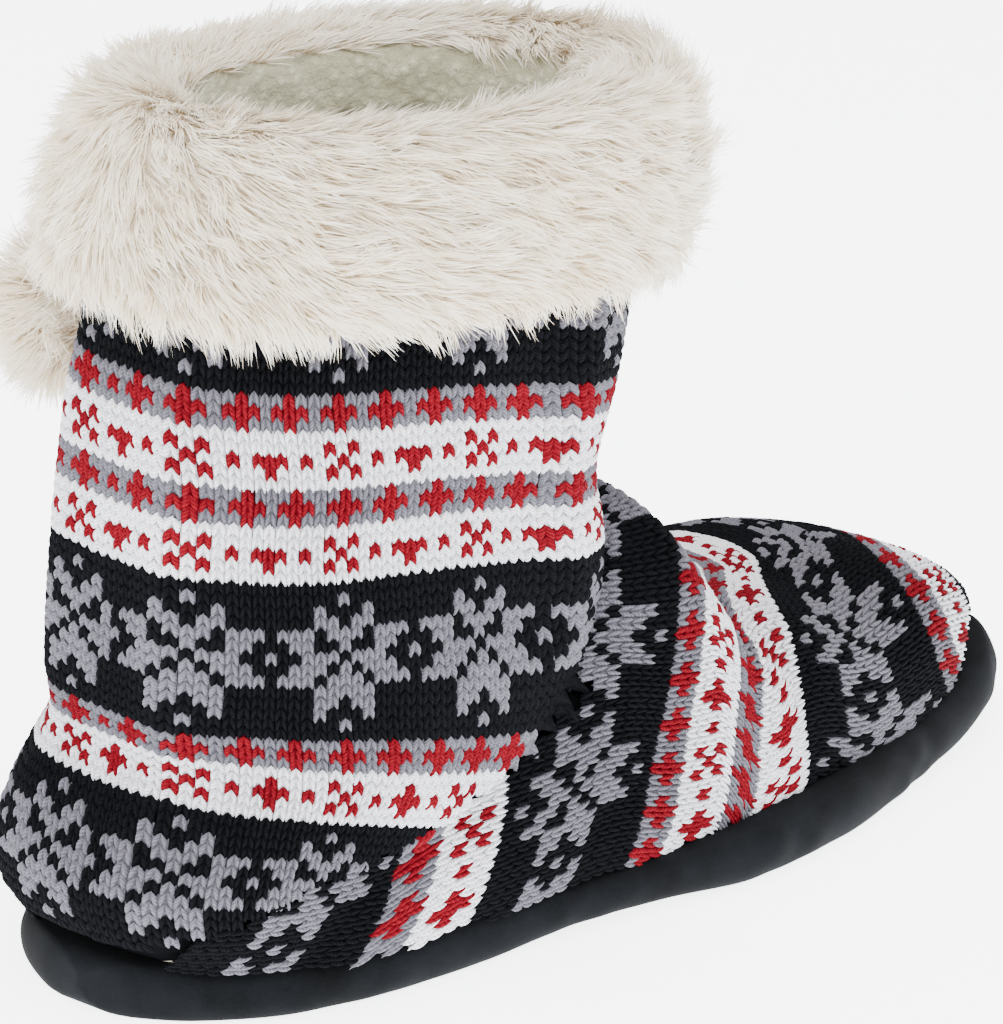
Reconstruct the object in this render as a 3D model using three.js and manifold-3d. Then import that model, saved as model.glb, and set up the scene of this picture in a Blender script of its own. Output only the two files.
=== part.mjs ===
// Knit slipper boot for the left foot, in millimetres, +Z up, +X to the toe, +Y to the left.
// The origin is on the floor under the middle of the heel seat.
import * as THREE from 'three';
import * as BufferGeometryUtils from 'three/addons/utils/BufferGeometryUtils.js';
import Module from 'manifold-3d';

const wasm = await Module();
wasm.setup();

// Driving dimensions
const soleLength = 262;
const heelSeat = 44;
const ballWidth = 98.5;
const soleThickness = 11;
const forefootExtra = 1.2;
const soleEdgeRoll = 5;
const archRise = 1.6;
const toeSpring = 6.5;
const legHeight = 161;
const insoleThickness = 3;
const upperWall = 3;
const fitGap = 0.3;
const cuffDrop = 32.5;
const cuffInside = 17;
const cuffLoft = 7;
const pileOutside = 13;
const pileInside = 10;
const pompomRadius = 18;
const lockLength = 16;
const lockWidth = 11;

// Footprint of the sole: share of the length, then medial and lateral half-widths as shares of the ball width
const soleRows = [
  { at: 0, medial: 0, lateral: 0 },
  { at: 0.012, medial: 0.095, lateral: 0.135 },
  { at: 0.045, medial: 0.225, lateral: 0.285 },
  { at: 0.11, medial: 0.34, lateral: 0.38 },
  { at: 0.2, medial: 0.4, lateral: 0.405 },
  { at: 0.32, medial: 0.428, lateral: 0.412 },
  { at: 0.44, medial: 0.482, lateral: 0.435 },
  { at: 0.55, medial: 0.522, lateral: 0.475 },
  { at: 0.64, medial: 0.508, lateral: 0.506 },
  { at: 0.72, medial: 0.462, lateral: 0.512 },
  { at: 0.8, medial: 0.405, lateral: 0.475 },
  { at: 0.87, medial: 0.358, lateral: 0.4 },
  { at: 0.93, medial: 0.298, lateral: 0.29 },
  { at: 0.97, medial: 0.216, lateral: 0.175 },
  { at: 0.99, medial: 0.132, lateral: 0.1 },
  { at: 1, medial: 0, lateral: 0 },
];

// Foot part of the upper: share of the sole length, half-widths as shares of the ball width,
// top of the vamp as a share of the leg height
const vampRows = [
  { at: 0.038, medial: 0.13, lateral: 0.13, top: 0.112 },
  { at: 0.078, medial: 0.29, lateral: 0.3, top: 0.161 },
  { at: 0.13, medial: 0.384, lateral: 0.375, top: 0.205 },
  { at: 0.19, medial: 0.417, lateral: 0.402, top: 0.242 },
  { at: 0.265, medial: 0.437, lateral: 0.418, top: 0.298 },
  { at: 0.335, medial: 0.446, lateral: 0.428, top: 0.363 },
  { at: 0.4, medial: 0.457, lateral: 0.438, top: 0.435 },
  { at: 0.45, medial: 0.464, lateral: 0.45, top: 0.472 },
  { at: 0.49, medial: 0.467, lateral: 0.463, top: 0.485 },
  { at: 0.52, medial: 0.466, lateral: 0.47, top: 0.432 },
  { at: 0.545, medial: 0.463, lateral: 0.474, top: 0.36 },
  { at: 0.575, medial: 0.458, lateral: 0.48, top: 0.326 },
  { at: 0.632, medial: 0.445, lateral: 0.487, top: 0.305 },
  { at: 0.68, medial: 0.428, lateral: 0.485, top: 0.277 },
  { at: 0.715, medial: 0.415, lateral: 0.476, top: 0.266 },
  { at: 0.757, medial: 0.398, lateral: 0.458, top: 0.264 },
  { at: 0.81, medial: 0.366, lateral: 0.416, top: 0.264 },
  { at: 0.86, medial: 0.32, lateral: 0.355, top: 0.25 },
  { at: 0.908, medial: 0.257, lateral: 0.264, top: 0.223 },
  { at: 0.942, medial: 0.187, lateral: 0.18, top: 0.188 },
  { at: 0.964, medial: 0.12, lateral: 0.112, top: 0.154 },
  { at: 0.98, medial: 0.03, lateral: 0.03, top: 0.112 },
];

// Leg and heel part of the upper, level by level: height as a share of the leg height, turn of the level
// in degrees, widest place and reach to the back and front as shares of the sole length,
// half-widths as shares of the ball width, and how square the level is
const legRows = [
  { at: 0, turn: 0, middle: 0.175, back: 0.149, front: 0.19, medial: 0.345, lateral: 0.385, square: 2.2 },
  { at: 0.068, turn: 0, middle: 0.175, back: 0.157, front: 0.2, medial: 0.362, lateral: 0.416, square: 2.25 },
  { at: 0.118, turn: 0, middle: 0.176, back: 0.181, front: 0.214, medial: 0.379, lateral: 0.431, square: 2.3 },
  { at: 0.168, turn: 0, middle: 0.18, back: 0.19, front: 0.221, medial: 0.397, lateral: 0.437, square: 2.3 },
  { at: 0.224, turn: -1, middle: 0.191, back: 0.178, front: 0.229, medial: 0.414, lateral: 0.437, square: 2.35 },
  { at: 0.286, turn: -2, middle: 0.214, back: 0.167, front: 0.225, medial: 0.423, lateral: 0.431, square: 2.4 },
  { at: 0.373, turn: -3, middle: 0.237, back: 0.192, front: 0.22, medial: 0.428, lateral: 0.426, square: 2.45 },
  { at: 0.472, turn: -4, middle: 0.26, back: 0.21, front: 0.198, medial: 0.427, lateral: 0.426, square: 2.5 },
  { at: 0.571, turn: -5, middle: 0.271, back: 0.214, front: 0.174, medial: 0.422, lateral: 0.421, square: 2.5 },
  { at: 0.671, turn: -6, middle: 0.282, back: 0.214, front: 0.187, medial: 0.417, lateral: 0.416, square: 2.5 },
  { at: 0.77, turn: -6, middle: 0.293, back: 0.209, front: 0.192, medial: 0.412, lateral: 0.411, square: 2.45 },
  { at: 0.894, turn: -6, middle: 0.305, back: 0.202, front: 0.19, medial: 0.404, lateral: 0.404, square: 2.35 },
  { at: 1, turn: -6, middle: 0.312, back: 0.192, front: 0.188, medial: 0.394, lateral: 0.394, square: 2.2 },
];

// Closed section of the fur cuff: out from the knit as a share of the pile (negative is inside the collar),
// up from the rim as a share of the drop, the loft or the inside depth that the row belongs to
const cuffRows = [
  { out: 0.22, up: -0.97 },
  { out: 0.6, up: -1 },
  { out: 0.95, up: -0.84 },
  { out: 1.06, up: -0.55 },
  { out: 1.04, up: -0.28 },
  { out: 0.92, up: -0.04 },
  { out: 0.62, up: 0.62 },
  { out: 0.2, up: 0.98 },
  { out: -0.35, up: 0.94 },
  { out: -0.92, up: 0.35 },
  { out: -1.12, up: -0.25 },
  { out: -1.05, up: -0.75 },
  { out: -0.72, up: -1 },
  { out: -0.42, up: -0.9 },
];

// Mesh resolution of the forms
const aroundUpper = 36;
const aroundSole = 20;
const aroundCuff = 36;
const legStations = 17;
const vampStations = 25;
const soleStations = 27;

// Spans along the sole, as shares of its length, where the toe lifts, the forefoot thickens and the arch rises
const springFrom = 0.72;
const forefootFrom = 0.4;
const forefootTo = 0.62;
const archRiseFrom = 0.27;
const archRiseTo = 0.38;
const archFallFrom = 0.42;
const archFallTo = 0.53;
const rollLimit = 0.5;
const plateRoll = 0.5;
const openingGrow = 0.3;

// Section of the vamp: how square it is over and under its widest height, that height as a share of the leg
// height or of the rise at the toe, its depth under the floor of the foot, and the least share of it that stays
// when it shrinks inwards
const vampSquareTop = 2.7;
const vampSquareLow = 2.2;
const vampWaistShare = 0.149;
const toeWaistShare = 0.42;
const vampRoot = 12;
const leastShare = 0.2;

const suedeRoughness = 0.95;
const knitRoughness = 0.9;
const fleeceRoughness = 1;

const colours = {
  knit: 0x55545a,
  suede: 0x15181d,
  fleece: 0xc9c6b2,
  fur: 0xe8dfcd,
};

// Smooth value of one column of a table, with no overshoot between its rows
function column(rows, name) {
  const slopes = rows.slice(1).map((row, i) => (row[name] - rows[i][name]) / (row.at - rows[i].at));
  const tangents = rows.map((row, i) => {
    const before = slopes[Math.max(i - 1, 0)];
    const after = slopes[Math.min(i, slopes.length - 1)];
    return before * after <= 0 ? 0 : (2 * before * after) / (before + after);
  });
  return (at) => {
    const place = Math.min(Math.max(at, rows[0].at), rows[rows.length - 1].at);
    const i = Math.min(rows.findIndex((row) => row.at >= place) || 1, rows.length - 1);
    const [low, high] = [rows[i - 1], rows[i]];
    const span = high.at - low.at;
    const t = (place - low.at) / span;
    const ease = t * t * (3 - 2 * t);
    const bendLow = t * (1 - t) * (1 - t) * span * tangents[i - 1];
    const bendHigh = t * t * (t - 1) * span * tangents[i];
    return low[name] * (1 - ease) + high[name] * ease + bendLow + bendHigh;
  };
}

const sole = {
  medial: column(soleRows, 'medial'),
  lateral: column(soleRows, 'lateral'),
};
const vamp = {
  medial: column(vampRows, 'medial'),
  lateral: column(vampRows, 'lateral'),
  top: column(vampRows, 'top'),
};
const leg = Object.fromEntries(
  ['turn', 'middle', 'back', 'front', 'medial', 'lateral', 'square'].map((name) => [
    name,
    column(legRows, name),
  ]),
);

const alongX = (share) => share * soleLength - heelSeat;
const signedPower = (value, power) => Math.sign(value) * Math.abs(value) ** power;

// Height that the toe spring adds, and thickness of the sole, at a share of its length
function springAt(share) {
  const reach = THREE.MathUtils.clamp((share - springFrom) / (1 - springFrom), 0, 1);
  return toeSpring * reach * reach;
}

function soleTopAt(share) {
  const thicker = forefootExtra * THREE.MathUtils.smoothstep(share, forefootFrom, forefootTo);
  return soleThickness + thicker + springAt(share);
}

function soleBottomAt(share) {
  const rising = THREE.MathUtils.smoothstep(share, archRiseFrom, archRiseTo);
  const falling = THREE.MathUtils.smoothstep(share, archFallFrom, archFallTo);
  return archRise * (rising - falling) + springAt(share);
}

// A closed solid from stations and an angle round them, made by moving the points of a plain cylinder
function loft(stations, around, place) {
  const geometry = new THREE.CylinderGeometry(1, 1, 1, around, stations.length - 1);
  const position = geometry.getAttribute('position');
  const start = new THREE.Vector3();
  for (let i = 0; i < position.count; i += 1) {
    start.fromBufferAttribute(position, i);
    const station = stations[Math.round((0.5 - start.y) * (stations.length - 1))];
    const reach = Math.round(Math.hypot(start.x, start.z));
    const point = place(station, Math.atan2(start.x, start.z), reach);
    position.setXYZ(i, point.x, point.y, point.z);
  }
  return geometry;
}

// The geometry with its shared points joined into one
function welded(geometry) {
  const bare = geometry.index ? geometry.toNonIndexed() : geometry.clone();
  bare.deleteAttribute('normal');
  bare.deleteAttribute('uv');
  return BufferGeometryUtils.mergeVertices(bare, 1e-4);
}

// A solid for joining and cutting, with its faces turned outwards
function solid(geometry) {
  const merged = welded(geometry);
  const vertProperties = new Float32Array(merged.getAttribute('position').array);
  const index = merged.index.array;
  const corner = [new THREE.Vector3(), new THREE.Vector3(), new THREE.Vector3()];
  const triangles = [];
  let volume = 0;
  for (let i = 0; i < index.length; i += 3) {
    const [a, b, c] = [index[i], index[i + 1], index[i + 2]];
    if (a === b || b === c || c === a) continue;
    [a, b, c].forEach((vertex, n) => corner[n].fromArray(vertProperties, vertex * 3));
    volume += corner[0].dot(corner[1].cross(corner[2]));
    triangles.push(a, b, c);
  }
  const triVerts = new Uint32Array(triangles);
  if (volume < 0) triVerts.reverse();
  return new wasm.Manifold(new wasm.Mesh({ numProp: 3, vertProperties, triVerts }));
}

function geometryOf(body) {
  const mesh = body.getMesh();
  const geometry = new THREE.BufferGeometry();
  geometry.setAttribute('position', new THREE.BufferAttribute(new Float32Array(mesh.vertProperties), 3));
  geometry.setIndex(new THREE.BufferAttribute(new Uint32Array(mesh.triVerts), 1));
  geometry.computeVertexNormals();
  return geometry;
}

function piece(name, body, colour, roughness) {
  const material = new THREE.MeshStandardMaterial({ color: colour, roughness, metalness: 0 });
  const mesh = new THREE.Mesh(geometryOf(body), material);
  mesh.name = name;
  return mesh;
}

// Shares from 0 to 1, packed closer towards both ends
function easedShares(count) {
  return Array.from({ length: count }, (_, i) => 0.5 - 0.5 * Math.cos((Math.PI * i) / (count - 1)));
}

// Plate that follows the footprint and the toe spring between two heights
function soleForm({ grow, roll, lowAt, highAt }) {
  return loft(easedShares(soleStations), aroundSole, (share, angle, reach) => {
    const fromEnd = Math.min(1, (Math.min(share, 1 - share) * soleLength) / roll);
    const ending = Math.sqrt(1 - (1 - fromEnd) ** 2);
    const x = THREE.MathUtils.lerp(-grow, soleLength + grow, share) - heelSeat;
    const place = THREE.MathUtils.clamp((x + heelSeat) / soleLength, 0, 1);
    const middle = (lowAt(place) + highAt(place)) / 2;
    const tall = ((highAt(place) - lowAt(place)) / 2) * ending;
    const side = Math.sin(angle);
    const half = (side < 0 ? sole.medial(share) : sole.lateral(share)) * ballWidth + grow;
    const flat = Math.max(half - roll, half * rollLimit);
    const edge = half - flat;
    const upward = Math.cos(angle);
    const onEdge = Math.min(Math.abs(side) / Math.SQRT1_2, 1);
    const turn = Math.abs(upward) > Math.SQRT1_2 ? Math.PI / 2 : Math.asin(Math.abs(upward) / Math.SQRT1_2);
    const y = Math.sign(side) * (flat * onEdge + edge * Math.cos(turn));
    const z = middle + Math.sign(upward) * Math.sin(turn) * tall;
    return new THREE.Vector3(x, y * reach, reach ? z : middle);
  });
}

// Foot part of the upper, shrunk by an inset from the outer face of the knit
function vampForm(inset) {
  const first = vampRows[0].at;
  const last = vampRows[vampRows.length - 1].at;
  const stations = easedShares(vampStations).map((t) => THREE.MathUtils.lerp(first, last, t));
  return loft(stations, aroundUpper, (share, angle, reach) => {
    const side = Math.sin(angle);
    const half = (side < 0 ? vamp.medial(share) : vamp.lateral(share)) * ballWidth;
    const top = vamp.top(share) * legHeight;
    const ground = soleTopAt(share);
    const waist = Math.min(vampWaistShare * legHeight, ground + toeWaistShare * (top - ground));
    const up = Math.cos(angle) >= 0;
    const square = 2 / (up ? vampSquareTop : vampSquareLow);
    const tall = up ? top - waist : waist + vampRoot;
    const width = Math.max(half - inset, half * leastShare);
    const y = signedPower(side, square) * width;
    const height = Math.max(tall - inset, tall * leastShare);
    const z = waist + signedPower(Math.cos(angle), square) * height;
    const toMiddle = (share - (first + last) / 2) / ((last - first) / 2);
    const x = alongX(share) - inset * signedPower(toMiddle, 3);
    return new THREE.Vector3(x, y * reach, reach ? z : waist);
  });
}

// A point of the leg at a height share and an angle, moved out from the outer face of the knit
function legPoint(share, angle, out) {
  const reachX = Math.cos(angle);
  const reachY = Math.sin(angle);
  const length = (reachX < 0 ? leg.back(share) : leg.front(share)) * soleLength;
  const width = (reachY < 0 ? leg.medial(share) : leg.lateral(share)) * ballWidth;
  const power = 2 / leg.square(share);
  const x = signedPower(reachX, power) * length;
  const y = signedPower(reachY, power) * width;
  const normal = new THREE.Vector2(x / (length * length), y / (width * width)).normalize();
  const flat = new THREE.Vector2(x + normal.x * out, y + normal.y * out);
  flat.rotateAround(new THREE.Vector2(0, 0), THREE.MathUtils.degToRad(leg.turn(share)));
  return new THREE.Vector3(alongX(leg.middle(share)) + flat.x, flat.y, share * legHeight);
}

function legForm(inset, extra = 0) {
  const stations = Array.from({ length: legStations }, (_, i) => i / (legStations - 1));
  return loft(stations, aroundUpper, (share, angle, reach) => {
    const point = legPoint(share, angle, reach ? -inset : 0);
    if (!reach) point.set(alongX(leg.middle(share)), 0, share * legHeight);
    if (share === 1) point.z += extra;
    return point;
  });
}

function bootSolid(inset, extra) {
  return solid(legForm(inset, extra)).add(solid(vampForm(inset)));
}

// Everything below the sole's upper face, wider than the shoe, which opens the upper underneath
function belowSole(gap) {
  return solid(
    soleForm({
      grow: ballWidth * openingGrow,
      roll: plateRoll,
      lowAt: () => -2 * soleThickness,
      highAt: (share) => soleTopAt(share) + gap,
    }),
  );
}

function makeOutsole() {
  return solid(soleForm({ grow: 0, roll: soleEdgeRoll, lowAt: soleBottomAt, highAt: soleTopAt }));
}

function makeUpper() {
  return bootSolid(0, 0).subtract(bootSolid(upperWall, 1)).subtract(belowSole(fitGap));
}

function makeInsole() {
  const layer = solid(
    soleForm({
      grow: 0,
      roll: plateRoll,
      lowAt: (share) => soleTopAt(share) + fitGap,
      highAt: (share) => soleTopAt(share) + fitGap + insoleThickness,
    }),
  );
  return bootSolid(upperWall + fitGap, 0).intersect(layer);
}

// A point of the cuff's face, grown by a clearance: angle round the leg and place along its closed section
function cuffPoint(angle, place, grow) {
  const rows = cuffRows.length;
  const low = Math.floor(place) % rows;
  const high = (low + 1) % rows;
  const t = place - Math.floor(place);
  const out = THREE.MathUtils.lerp(cuffRows[low].out, cuffRows[high].out, t);
  const up = THREE.MathUtils.lerp(cuffRows[low].up, cuffRows[high].up, t);
  const depth = (out < 0 ? cuffInside : cuffDrop) + grow;
  const height = up < 0 ? up * depth : up * (cuffLoft + grow);
  const pile = out < 0 ? out * (pileInside + grow) : out * (pileOutside + grow);
  const share = THREE.MathUtils.clamp(1 + height / legHeight, 0, 1);
  const point = legPoint(share, angle, pile);
  point.z += Math.max(height, 0);
  return point;
}

function cuffRing(grow) {
  const geometry = new THREE.TorusGeometry(2, 1, cuffRows.length, aroundCuff);
  const position = geometry.getAttribute('position');
  for (let j = 0; j <= cuffRows.length; j += 1) {
    for (let i = 0; i <= aroundCuff; i += 1) {
      const angle = (2 * Math.PI * (i % aroundCuff)) / aroundCuff;
      const point = cuffPoint(angle, j % cuffRows.length, grow);
      position.setXYZ(j * (aroundCuff + 1) + i, point.x, point.y, point.z);
    }
  }
  return solid(geometry);
}

// Rows of locks on the cuff: place along its section, how many, and how far they stand out and hang down
const cuffLocks = [
  { place: 1.4, count: 26, out: 0.2, down: 1 },
  { place: 3, count: 20, out: 0.6, down: 1 },
  { place: 4.7, count: 18, out: 0.75, down: 1 },
];
const lockSides = 4;
const lockSweep = 0.3;
const lockSweeps = 5;
const lockVariation = 0.15;
const lockRooted = 0.35;
const lockSunk = 0.22;

// One pointed lock of fur with its root inside the pile
function lock(root, direction, length, width) {
  const cone = new THREE.ConeGeometry(width / 2, length, lockSides);
  cone.translate(0, length / 2, 0);
  const upright = new THREE.Vector3(0, 1, 0);
  const turn = new THREE.Quaternion().setFromUnitVectors(upright, direction.clone().normalize());
  cone.applyQuaternion(turn);
  cone.translate(root.x, root.y, root.z);
  return solid(cone);
}

// Fur collar turned down over the rim, with its locks, grown by a clearance on every side
function cuffBody(grow) {
  let cuff = cuffRing(grow);
  cuffLocks.forEach((row, r) => {
    for (let i = 0; i < row.count; i += 1) {
      const angle = (2 * Math.PI * (i + 0.5 * (r % 2))) / row.count;
      const outward = legPoint(1, angle, 1).sub(legPoint(1, angle, 0));
      const sweep = lockSweep * Math.sin(lockSweeps * angle + r);
      const direction = outward.clone().multiplyScalar(row.out);
      direction.add(new THREE.Vector3(-outward.y * sweep, outward.x * sweep, -row.down)).normalize();
      const length = lockLength * (1 + lockVariation * Math.sin(3 * i + r)) + 2 * grow;
      const root = cuffPoint(angle, row.place, 0);
      root.addScaledVector(direction, -lockRooted * length);
      root.addScaledVector(outward, -lockSunk * pileOutside);
      cuff = cuff.add(lock(root, direction, length, lockWidth + 2 * grow));
    }
  });
  return cuff;
}

function makeCuff() {
  const wall = solid(legForm(-fitGap, fitGap)).subtract(solid(legForm(upperWall + fitGap, 2 * fitGap)));
  return cuffBody(0).subtract(wall);
}

// The pompom is sewn to the leg under the cuff, on the outer side towards the back
const pompomAngle = THREE.MathUtils.degToRad(106);
const pompomUnderCuff = 0.9;
const pompomStandOff = 0.92;
const pompomCore = 0.86;
const pompomLocks = 44;
const pompomLockRoot = 0.45;
const pompomLockLength = 0.6;
const pompomLockWidth = 0.8;
const goldenAngle = Math.PI * (3 - Math.sqrt(5));

function makePompom() {
  const share = 1 - (cuffDrop + pompomRadius * pompomUnderCuff) / legHeight;
  const centre = legPoint(share, pompomAngle, pompomRadius * pompomStandOff);
  const core = new THREE.SphereGeometry(pompomRadius * pompomCore, 16, 10);
  core.translate(centre.x, centre.y, centre.z);
  let pompom = solid(core);
  for (let i = 0; i < pompomLocks; i += 1) {
    const up = 1 - (2 * (i + 0.5)) / pompomLocks;
    const flat = Math.sqrt(1 - up * up);
    const angle = i * goldenAngle;
    const direction = new THREE.Vector3(flat * Math.cos(angle), flat * Math.sin(angle), up);
    const start = centre.clone().addScaledVector(direction, pompomRadius * pompomLockRoot);
    const length = pompomRadius * pompomLockLength;
    pompom = pompom.add(lock(start, direction, length, lockWidth * pompomLockWidth));
  }
  const leaning = solid(legForm(-fitGap, 0));
  return pompom.subtract(leaning).subtract(cuffBody(fitGap));
}

const slipper = new THREE.Group();
slipper.add(piece('outsole', makeOutsole(), colours.suede, suedeRoughness));
slipper.add(piece('insole', makeInsole(), colours.fleece, fleeceRoughness));
slipper.add(piece('upper', makeUpper(), colours.knit, knitRoughness));
slipper.add(piece('fur_cuff', makeCuff(), colours.fur, fleeceRoughness));
slipper.add(piece('pompom', makePompom(), colours.fur, fleeceRoughness));

export default slipper;
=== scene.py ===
"""Looks of a knit slipper boot with a fur cuff, a pompom and a suede sole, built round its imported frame."""

import logging
import math
from dataclasses import dataclass, field
from enum import Enum
from functools import partial
from typing import Callable, NamedTuple, Optional, Sequence

import bmesh
import bpy
import numpy as np
from mathutils import Matrix, Vector


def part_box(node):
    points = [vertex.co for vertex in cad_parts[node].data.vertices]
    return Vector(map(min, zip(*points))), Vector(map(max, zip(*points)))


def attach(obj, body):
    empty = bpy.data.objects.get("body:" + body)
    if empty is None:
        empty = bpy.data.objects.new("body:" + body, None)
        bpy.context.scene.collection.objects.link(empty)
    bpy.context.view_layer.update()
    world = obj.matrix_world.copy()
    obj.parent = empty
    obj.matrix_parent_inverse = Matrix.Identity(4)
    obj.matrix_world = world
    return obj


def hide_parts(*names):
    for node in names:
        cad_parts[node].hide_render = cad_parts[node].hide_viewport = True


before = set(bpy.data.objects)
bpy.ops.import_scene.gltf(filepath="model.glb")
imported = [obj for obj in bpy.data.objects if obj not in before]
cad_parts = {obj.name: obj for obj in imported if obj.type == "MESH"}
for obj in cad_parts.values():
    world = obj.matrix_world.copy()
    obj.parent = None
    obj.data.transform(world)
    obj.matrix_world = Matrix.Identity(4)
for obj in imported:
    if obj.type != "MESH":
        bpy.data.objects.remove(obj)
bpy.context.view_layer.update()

LOG = logging.getLogger("knit_slipper")
MM = 0.001

Array = np.ndarray
Column = Callable[[Array], Array]
Socket = bpy.types.NodeSocket
Sockets = bpy.types.bpy_prop_collection


class Slot(str, Enum):
    """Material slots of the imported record."""

    SUEDE = "suede"
    KNIT = "knit"
    FUR = "fur"
    FLEECE = "fleece"


class Yarn(int, Enum):
    """Yarn colours of the knit, in the order of a knitted piece's material slots."""

    BLACK = 0
    GREY = 1
    RED = 2
    WHITE = 3


def table(kind: type, *rows: tuple) -> tuple:
    """Rows of numbers as named rows of one kind."""
    return tuple(kind(*row) for row in rows)


# Tables of the form, as shares of the sole length, the ball width and the leg height


class SoleRow(NamedTuple):
    """Half-widths of the footprint at a share of its length."""

    at: float
    medial: float
    lateral: float


class VampRow(NamedTuple):
    """Half-widths and top of the foot part of the upper at a share of the sole length."""

    at: float
    medial: float
    lateral: float
    top: float


class LegRow(NamedTuple):
    """One level of the leg: turn in degrees, widest place, reaches, half-widths and squareness."""

    at: float
    turn: float
    middle: float
    back: float
    front: float
    medial: float
    lateral: float
    square: float


class CuffRow(NamedTuple):
    """A point of the cuff's closed section: shares of the pile and of the drop, loft or inside depth."""

    out: float
    up: float


SOLE_ROWS = table(
    SoleRow,
    (0, 0, 0), (0.012, 0.095, 0.135), (0.045, 0.225, 0.285), (0.11, 0.34, 0.38), (0.2, 0.4, 0.405),
    (0.32, 0.428, 0.412), (0.44, 0.482, 0.435), (0.55, 0.522, 0.475), (0.64, 0.508, 0.506),
    (0.72, 0.462, 0.512), (0.8, 0.405, 0.475), (0.87, 0.358, 0.4), (0.93, 0.298, 0.29), (0.97, 0.216, 0.175),
    (0.99, 0.132, 0.1), (1, 0, 0),
)

VAMP_ROWS = table(
    VampRow,
    (0.038, 0.13, 0.13, 0.112), (0.078, 0.29, 0.3, 0.161), (0.13, 0.384, 0.375, 0.205),
    (0.19, 0.417, 0.402, 0.242), (0.265, 0.437, 0.418, 0.298), (0.335, 0.446, 0.428, 0.363),
    (0.4, 0.457, 0.438, 0.435), (0.45, 0.464, 0.45, 0.472), (0.49, 0.467, 0.463, 0.485),
    (0.52, 0.466, 0.47, 0.432), (0.545, 0.463, 0.474, 0.36), (0.575, 0.458, 0.48, 0.326),
    (0.632, 0.445, 0.487, 0.305), (0.68, 0.428, 0.485, 0.277), (0.715, 0.415, 0.476, 0.266),
    (0.757, 0.398, 0.458, 0.264), (0.81, 0.366, 0.416, 0.264), (0.86, 0.32, 0.355, 0.25),
    (0.908, 0.257, 0.264, 0.223), (0.942, 0.187, 0.18, 0.188), (0.964, 0.12, 0.112, 0.154),
    (0.98, 0.03, 0.03, 0.112),
)

LEG_ROWS = table(
    LegRow,
    (0, 0, 0.175, 0.149, 0.19, 0.345, 0.385, 2.2), (0.068, 0, 0.175, 0.157, 0.2, 0.362, 0.416, 2.25),
    (0.118, 0, 0.176, 0.181, 0.214, 0.379, 0.431, 2.3), (0.168, 0, 0.18, 0.19, 0.221, 0.397, 0.437, 2.3),
    (0.224, -1, 0.191, 0.178, 0.229, 0.414, 0.437, 2.35),
    (0.286, -2, 0.214, 0.167, 0.225, 0.423, 0.431, 2.4), (0.373, -3, 0.237, 0.192, 0.22, 0.428, 0.426, 2.45),
    (0.472, -4, 0.26, 0.21, 0.198, 0.427, 0.426, 2.5), (0.571, -5, 0.271, 0.214, 0.174, 0.422, 0.421, 2.5),
    (0.671, -6, 0.282, 0.214, 0.187, 0.417, 0.416, 2.5), (0.77, -6, 0.293, 0.209, 0.192, 0.412, 0.411, 2.45),
    (0.894, -6, 0.305, 0.202, 0.19, 0.404, 0.404, 2.35), (1, -6, 0.312, 0.192, 0.188, 0.394, 0.394, 2.2),
)

CUFF_ROWS = table(
    CuffRow,
    (0.22, -0.97), (0.6, -1), (0.95, -0.84), (1.06, -0.55), (1.04, -0.28), (0.92, -0.04), (0.62, 0.62),
    (0.2, 0.98), (-0.35, 0.94), (-0.92, 0.35), (-1.12, -0.25), (-1.05, -0.75), (-0.72, -1), (-0.42, -0.9),
)


def hermite(t: Array, span: Array, low: Array, high: Array, start: Array, end: Array) -> Array:
    """Smooth value at a share t of a span, from the values and slopes at its ends."""
    ease = t * t * (3 - 2 * t)
    bend = t * (1 - t) ** 2 * span * start + t * t * (t - 1) * span * end
    return low * (1 - ease) + high * ease + bend


def column(rows: Sequence[tuple], name: str) -> Column:
    """Smooth value of one column of a table, with no overshoot between its rows.

    Args:
        rows: table rows in rising order of their first field.
        name: field to read.

    Returns:
        A function of the share that works on arrays.
    """
    at = np.array([row.at for row in rows], float)
    value = np.array([getattr(row, name) for row in rows], float)
    slope = np.diff(value) / np.diff(at)
    before, after = np.r_[slope[0], slope], np.r_[slope, slope[-1]]
    total = np.where(before + after == 0, 1.0, before + after)
    tangent = np.where(before * after <= 0, 0.0, 2 * before * after / total)

    def read(share: Array) -> Array:
        """Value of the column at each share."""
        place = np.clip(share, at[0], at[-1])
        i = np.clip(np.searchsorted(at, place), 1, len(at) - 1)
        span = at[i] - at[i - 1]
        return hermite((place - at[i - 1]) / span, span, value[i - 1], value[i], tangent[i - 1], tangent[i])

    return read


def columns(rows: Sequence[tuple]) -> dict[str, Column]:
    """Smooth values of every column of a table, by name."""
    return {name: column(rows, name) for name in rows[0]._fields[1:]}


def smoothstep(value: Array, low: float, high: float) -> Array:
    """Smooth step from 0 at low to 1 at high, which may lie under low."""
    t = np.clip((np.asarray(value, float) - low) / (high - low), 0, 1)
    return t * t * (3 - 2 * t)


def signed_power(value: Array, power: Array) -> Array:
    """Power of the size of a value, with its sign kept."""
    return np.sign(value) * np.abs(value) ** power


def unit(vectors: Array) -> Array:
    """Vectors scaled to length 1."""
    return vectors / np.maximum(np.linalg.norm(vectors, axis=-1, keepdims=True), 1e-12)


def ways_along(points: Array) -> Array:
    """Way from the first point of a line to each of its points."""
    return np.r_[0, np.cumsum(np.linalg.norm(np.diff(points, axis=0), axis=1))]


def points_at(goals: Array, way: Array, points: Array) -> Array:
    """Points of a line at given ways along it."""
    return np.stack([np.interp(goals, way, points[:, axis]) for axis in range(3)], -1)


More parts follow.
